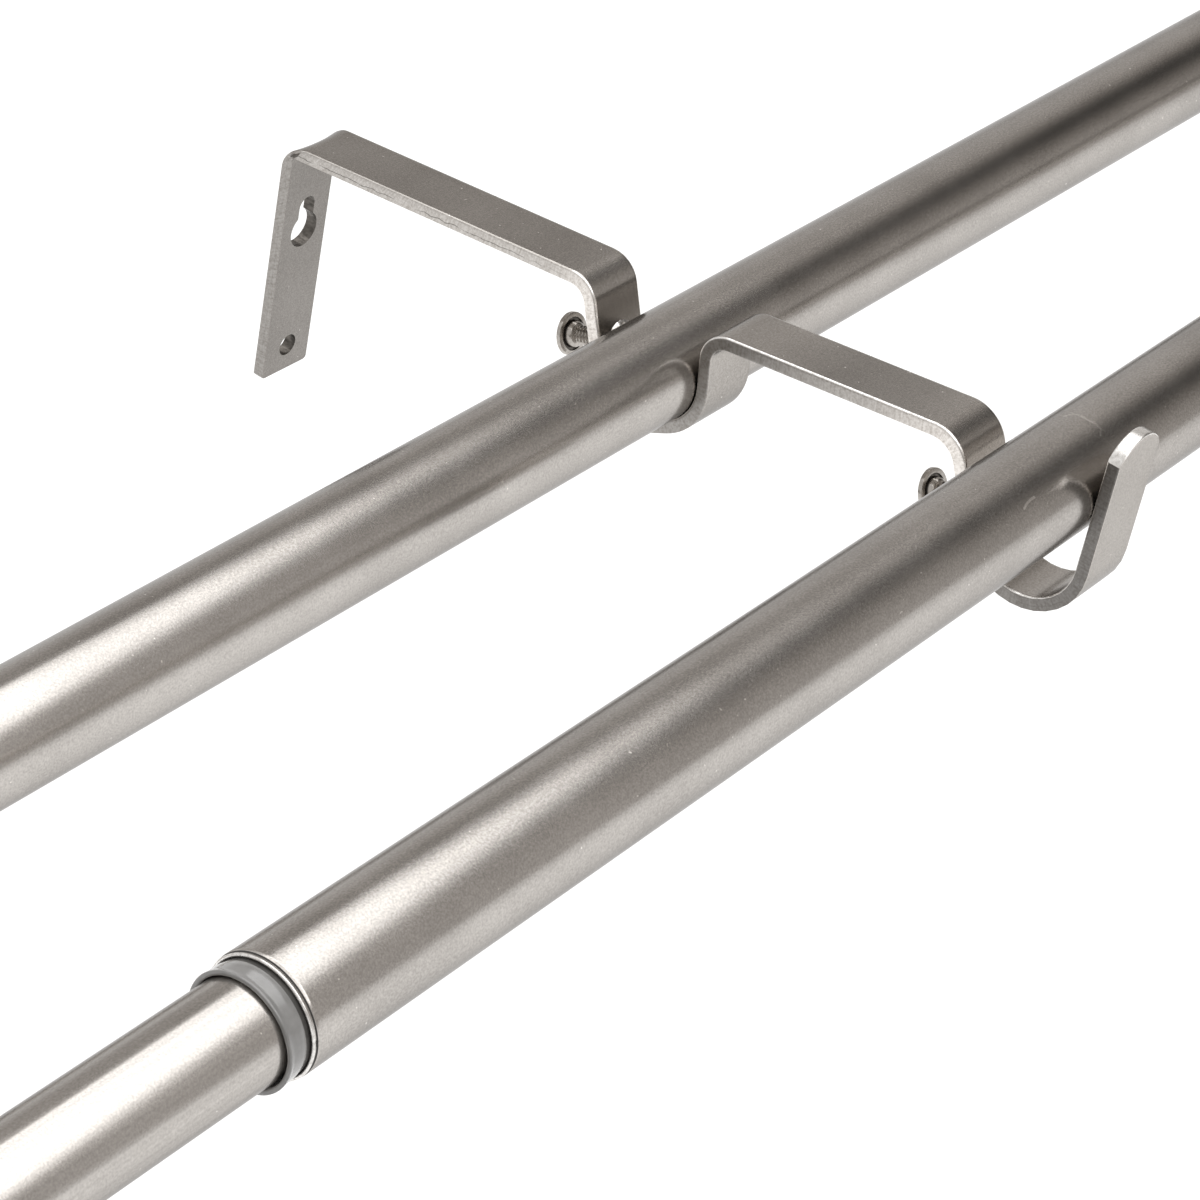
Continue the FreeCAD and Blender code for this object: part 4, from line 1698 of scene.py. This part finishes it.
@dataclass
class Poles:
    """Both telescopic poles with their tubes, sleeves and end caps."""

    outer: Tube = field(default_factory=Tube)
    inner: Tube = field(default_factory=lambda: Tube(diameter=16.0))
    sleeve: Sleeve = field(default_factory=Sleeve)

    def build(self, wardrobe: Wardrobe) -> None:
        """Build and dress the front pole and copy it to the rear.

        The end caps' CAD shape is right, so they only get their finish.

        Args:
            wardrobe: The finishes.
        """
        # Cut ends with their painted glint, and painted shade for the grooves
        rim, groove_shade = wardrobe.rim, wardrobe.groove_shade
        pieces = {
            "outer_tube": self.outer.build("front_outer_tube", wardrobe.tube, rim, groove_shade),
            "inner_tube": self.inner.build("front_inner_tube", wardrobe.slide, rim, groove_shade),
            "sleeve": self.sleeve.build("front_sleeve", wardrobe.sleeve, groove_shade),
        }
        rows = [row.value for row in (Row.FRONT, Row.REAR)]
        for part, piece in pieces.items():
            slides = part == "inner_tube"
            nodes = tuple(f"{row}_{part}" for row in rows)
            bodies = tuple(f"{row}_slider" if slides else "mounted" for row in rows)
            dress_both(piece, "shown", nodes, bodies)
        for cap in (f"{row}_{end}_cap" for row in rows for end in ("outer", "inner")):
            materials = frame["nodes"][cap].data.materials
            materials.clear()
            materials.append(wardrobe.cap)
            LOG.info("%s: finish changed", cap)


# Studio


@dataclass(frozen=True)
class DarkPatch:
    """A soft dark area of the room, by its direction.

    Attributes:
        middle: Y and Z of its direction.
        spread: Its spread along its two axes.
        turn: Turn of its axes, in radians.
        depth: How much of the light it takes away.
    """

    middle: Pair
    spread: Pair
    turn: float
    depth: float


@dataclass(frozen=True)
class Lamp:
    """A soft box above the poles.

    Attributes:
        name: The lamp's name.
        middle: X and Y of its middle.
        width: Its width along the poles.
        level: How bright it looks.
    """

    name: str
    middle: Pair
    width: float
    level: float


@dataclass
class Studio:
    """Floor, room, lamps and camera, in metres.

    The camera was fitted to the photograph's outlines, and the light to its tones. The key lamp
    ends where the highlight on the tubes fades out, and the fill lamp shows from above.
    """

    camera_place: Triple = (-0.700474, -0.389183, 0.406634)
    look: Triple = (0.69357797, 0.42327292, -0.58291477)
    right: Triple = (0.61151051, -0.7736659, 0.16581909)
    lens: float = 115.856
    sensor: float = 36.0
    nearest: float = 0.01
    floor_size: float = 30.0
    floor_drop: float = 0.32
    floor_glow: float = 0.59
    floor_color: float = 0.5
    floor_roughness: float = 0.9
    floor_grain: Pattern = Pattern(40.0, 2.0)
    floor_relief: Relief = Relief(0.0005, 0.1)
    room_level: float = 0.68
    room_lean: Triple = (0.0, 0.19, 0.25)
    least_level: float = 0.01
    backdrop_level: float = 0.93
    dark_patches: tuple[DarkPatch, ...] = (
        DarkPatch((-0.139, 0.493), (0.312, 0.392), -0.278, 0.98),
        DarkPatch((0.278, 0.851), (0.678, 0.082), -0.835, 0.886),
    )
    warm: Triple = (1.10, 1.0, 0.91)
    lamp_height: float = 2.0
    lamp_depth: float = 4.808
    lamp_turn: float = -0.118
    key: Lamp = Lamp("key_lamp", (0.850, -0.714), 0.800, 2.44)
    fill: Lamp = Lamp("fill_lamp", (-0.391, -0.567), 1.700, 1.25)

    def add_camera(self) -> None:
        """Add the camera in the photograph's place."""
        data = bpy.data.cameras.new("view")
        data.lens = self.lens
        data.sensor_width = self.sensor
        data.clip_start = self.nearest
        camera = bpy.data.objects.new("view", data)
        bpy.context.collection.objects.link(camera)
        back = -Vector(self.look).normalized()
        right = Vector(self.right).normalized()
        turned = Matrix((right, back.cross(right), back)).transposed().to_4x4()
        camera.matrix_world = Matrix.Translation(Vector(self.camera_place)) @ turned
        bpy.context.scene.camera = camera

    def add_floor(self) -> None:
        """Add the pale floor, which keeps the object's shadow and shows in its metal."""
        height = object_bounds()[0][2] - self.floor_drop
        deselect_all()
        bpy.ops.mesh.primitive_plane_add(size=self.floor_size, location=(0, 0, height))
        floor = rename(bpy.context.object, "floor")
        nodes = FinishNodes("pale_floor")
        rays = nodes.add("ShaderNodeLightPath").outputs
        seen = nodes.math("MAXIMUM", rays["Is Camera Ray"], rays["Is Glossy Ray"])
        seen = nodes.math("MAXIMUM", seen, rays["Is Transmission Ray"])
        nodes.feed(
            Base_Color=(self.floor_color, self.floor_color, self.floor_color, 1.0),
            Roughness=self.floor_roughness,
            Emission_Color=(*EVEN, 1.0),
            Emission_Strength=nodes.math("MULTIPLY", seen, self.floor_glow),
        )
        nodes.bump(nodes.noise(self.floor_grain), self.floor_relief)
        add_finishes(floor, nodes.material)
        floor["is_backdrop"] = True

    def add_world(self) -> None:
        """Add an even pale room with two soft dark areas, and the backdrop that the camera sees."""
        world = bpy.data.worlds.new("studio")
        world.use_nodes = True
        bpy.context.scene.world = world
        nodes = Nodes(world.node_tree)
        place = nodes.add("ShaderNodeTexCoord").outputs["Generated"]
        lean = nodes.vectors("DOT_PRODUCT", place, self.room_lean)
        level = nodes.math("MULTIPLY", nodes.math("ADD", lean, 1.0), self.room_level)
        along = nodes.vectors("DOT_PRODUCT", place, ALONG_POLES)
        ahead = nodes.math("GREATER_THAN", along, 0.0)
        for patch in self.dark_patches:
            shade = nodes.math("MULTIPLY", self.shade(nodes, place, patch), ahead)
            level = nodes.math("MULTIPLY", level, nodes.math("SUBTRACT", 1.0, shade))
        seen = nodes.add("ShaderNodeLightPath").outputs["Is Camera Ray"]
        backdrop = nodes.math("MULTIPLY", seen, self.backdrop_level)
        least = nodes.math("MAXIMUM", backdrop, self.least_level)
        level = nodes.math("MAXIMUM", level, least)
        tint = nodes.mix(level, self.warm, EVEN)
        nodes.fill(nodes.tree.nodes["Background"], Color=tint, Strength=level)

    def shade(self, nodes: Nodes, place: Socket, patch: DarkPatch) -> Socket:
        """How much light one dark area takes away.

        Args:
            nodes: The world's nodes.
            place: The direction.
            patch: The dark area.

        Returns:
            Its share of the light, from 0 to its depth.
        """
        cosine, sine = math.cos(patch.turn), math.sin(patch.turn)
        wide, tall = patch.spread
        squares = []
        for axis in ((cosine / wide, sine / wide), (-sine / tall, cosine / tall)):
            middle = axis[0] * patch.middle[0] + axis[1] * patch.middle[1]
            reach = nodes.vectors("DOT_PRODUCT", place, (0.0, *axis))
            miss = nodes.math("SUBTRACT", reach, middle)
            squares.append(nodes.math("MULTIPLY", miss, miss))
        fall = nodes.math("MULTIPLY", nodes.math("ADD", *squares), -0.5)
        return nodes.math("MULTIPLY", nodes.math("EXPONENT", fall), patch.depth)

    def add_lamp(self, lamp: Lamp) -> None:
        """Add a soft box above the poles.

        Args:
            lamp: The soft box.
        """
        data = bpy.data.lights.new(lamp.name, "AREA")
        data.shape = "RECTANGLE"
        data.size, data.size_y = lamp.width, self.lamp_depth
        data.energy = lamp.level * math.pi * lamp.width * self.lamp_depth
        box = bpy.data.objects.new(lamp.name, data)
        bpy.context.collection.objects.link(box)
        box.location = (*lamp.middle, self.lamp_height)
        box.rotation_euler = (0.0, 0.0, self.lamp_turn)

    def build(self) -> None:
        """Build the camera, the floor, the room and the lamps."""
        bpy.context.scene.view_settings.view_transform = "Standard"
        self.add_camera()
        self.add_floor()
        self.add_world()
        for lamp in (self.key, self.fill):
            self.add_lamp(lamp)


def main() -> None:
    """Build the whole scene and report each piece."""
    logging.basicConfig(level=logging.INFO, format="%(name)s: %(message)s")
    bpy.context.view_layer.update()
    wardrobe = Wardrobe()
    Bracket().build(wardrobe)
    for row in Row:
        ClampScrew(row).build(wardrobe)
    Poles().build(wardrobe)
    Studio().build()


if __name__ == "__main__":
    main()
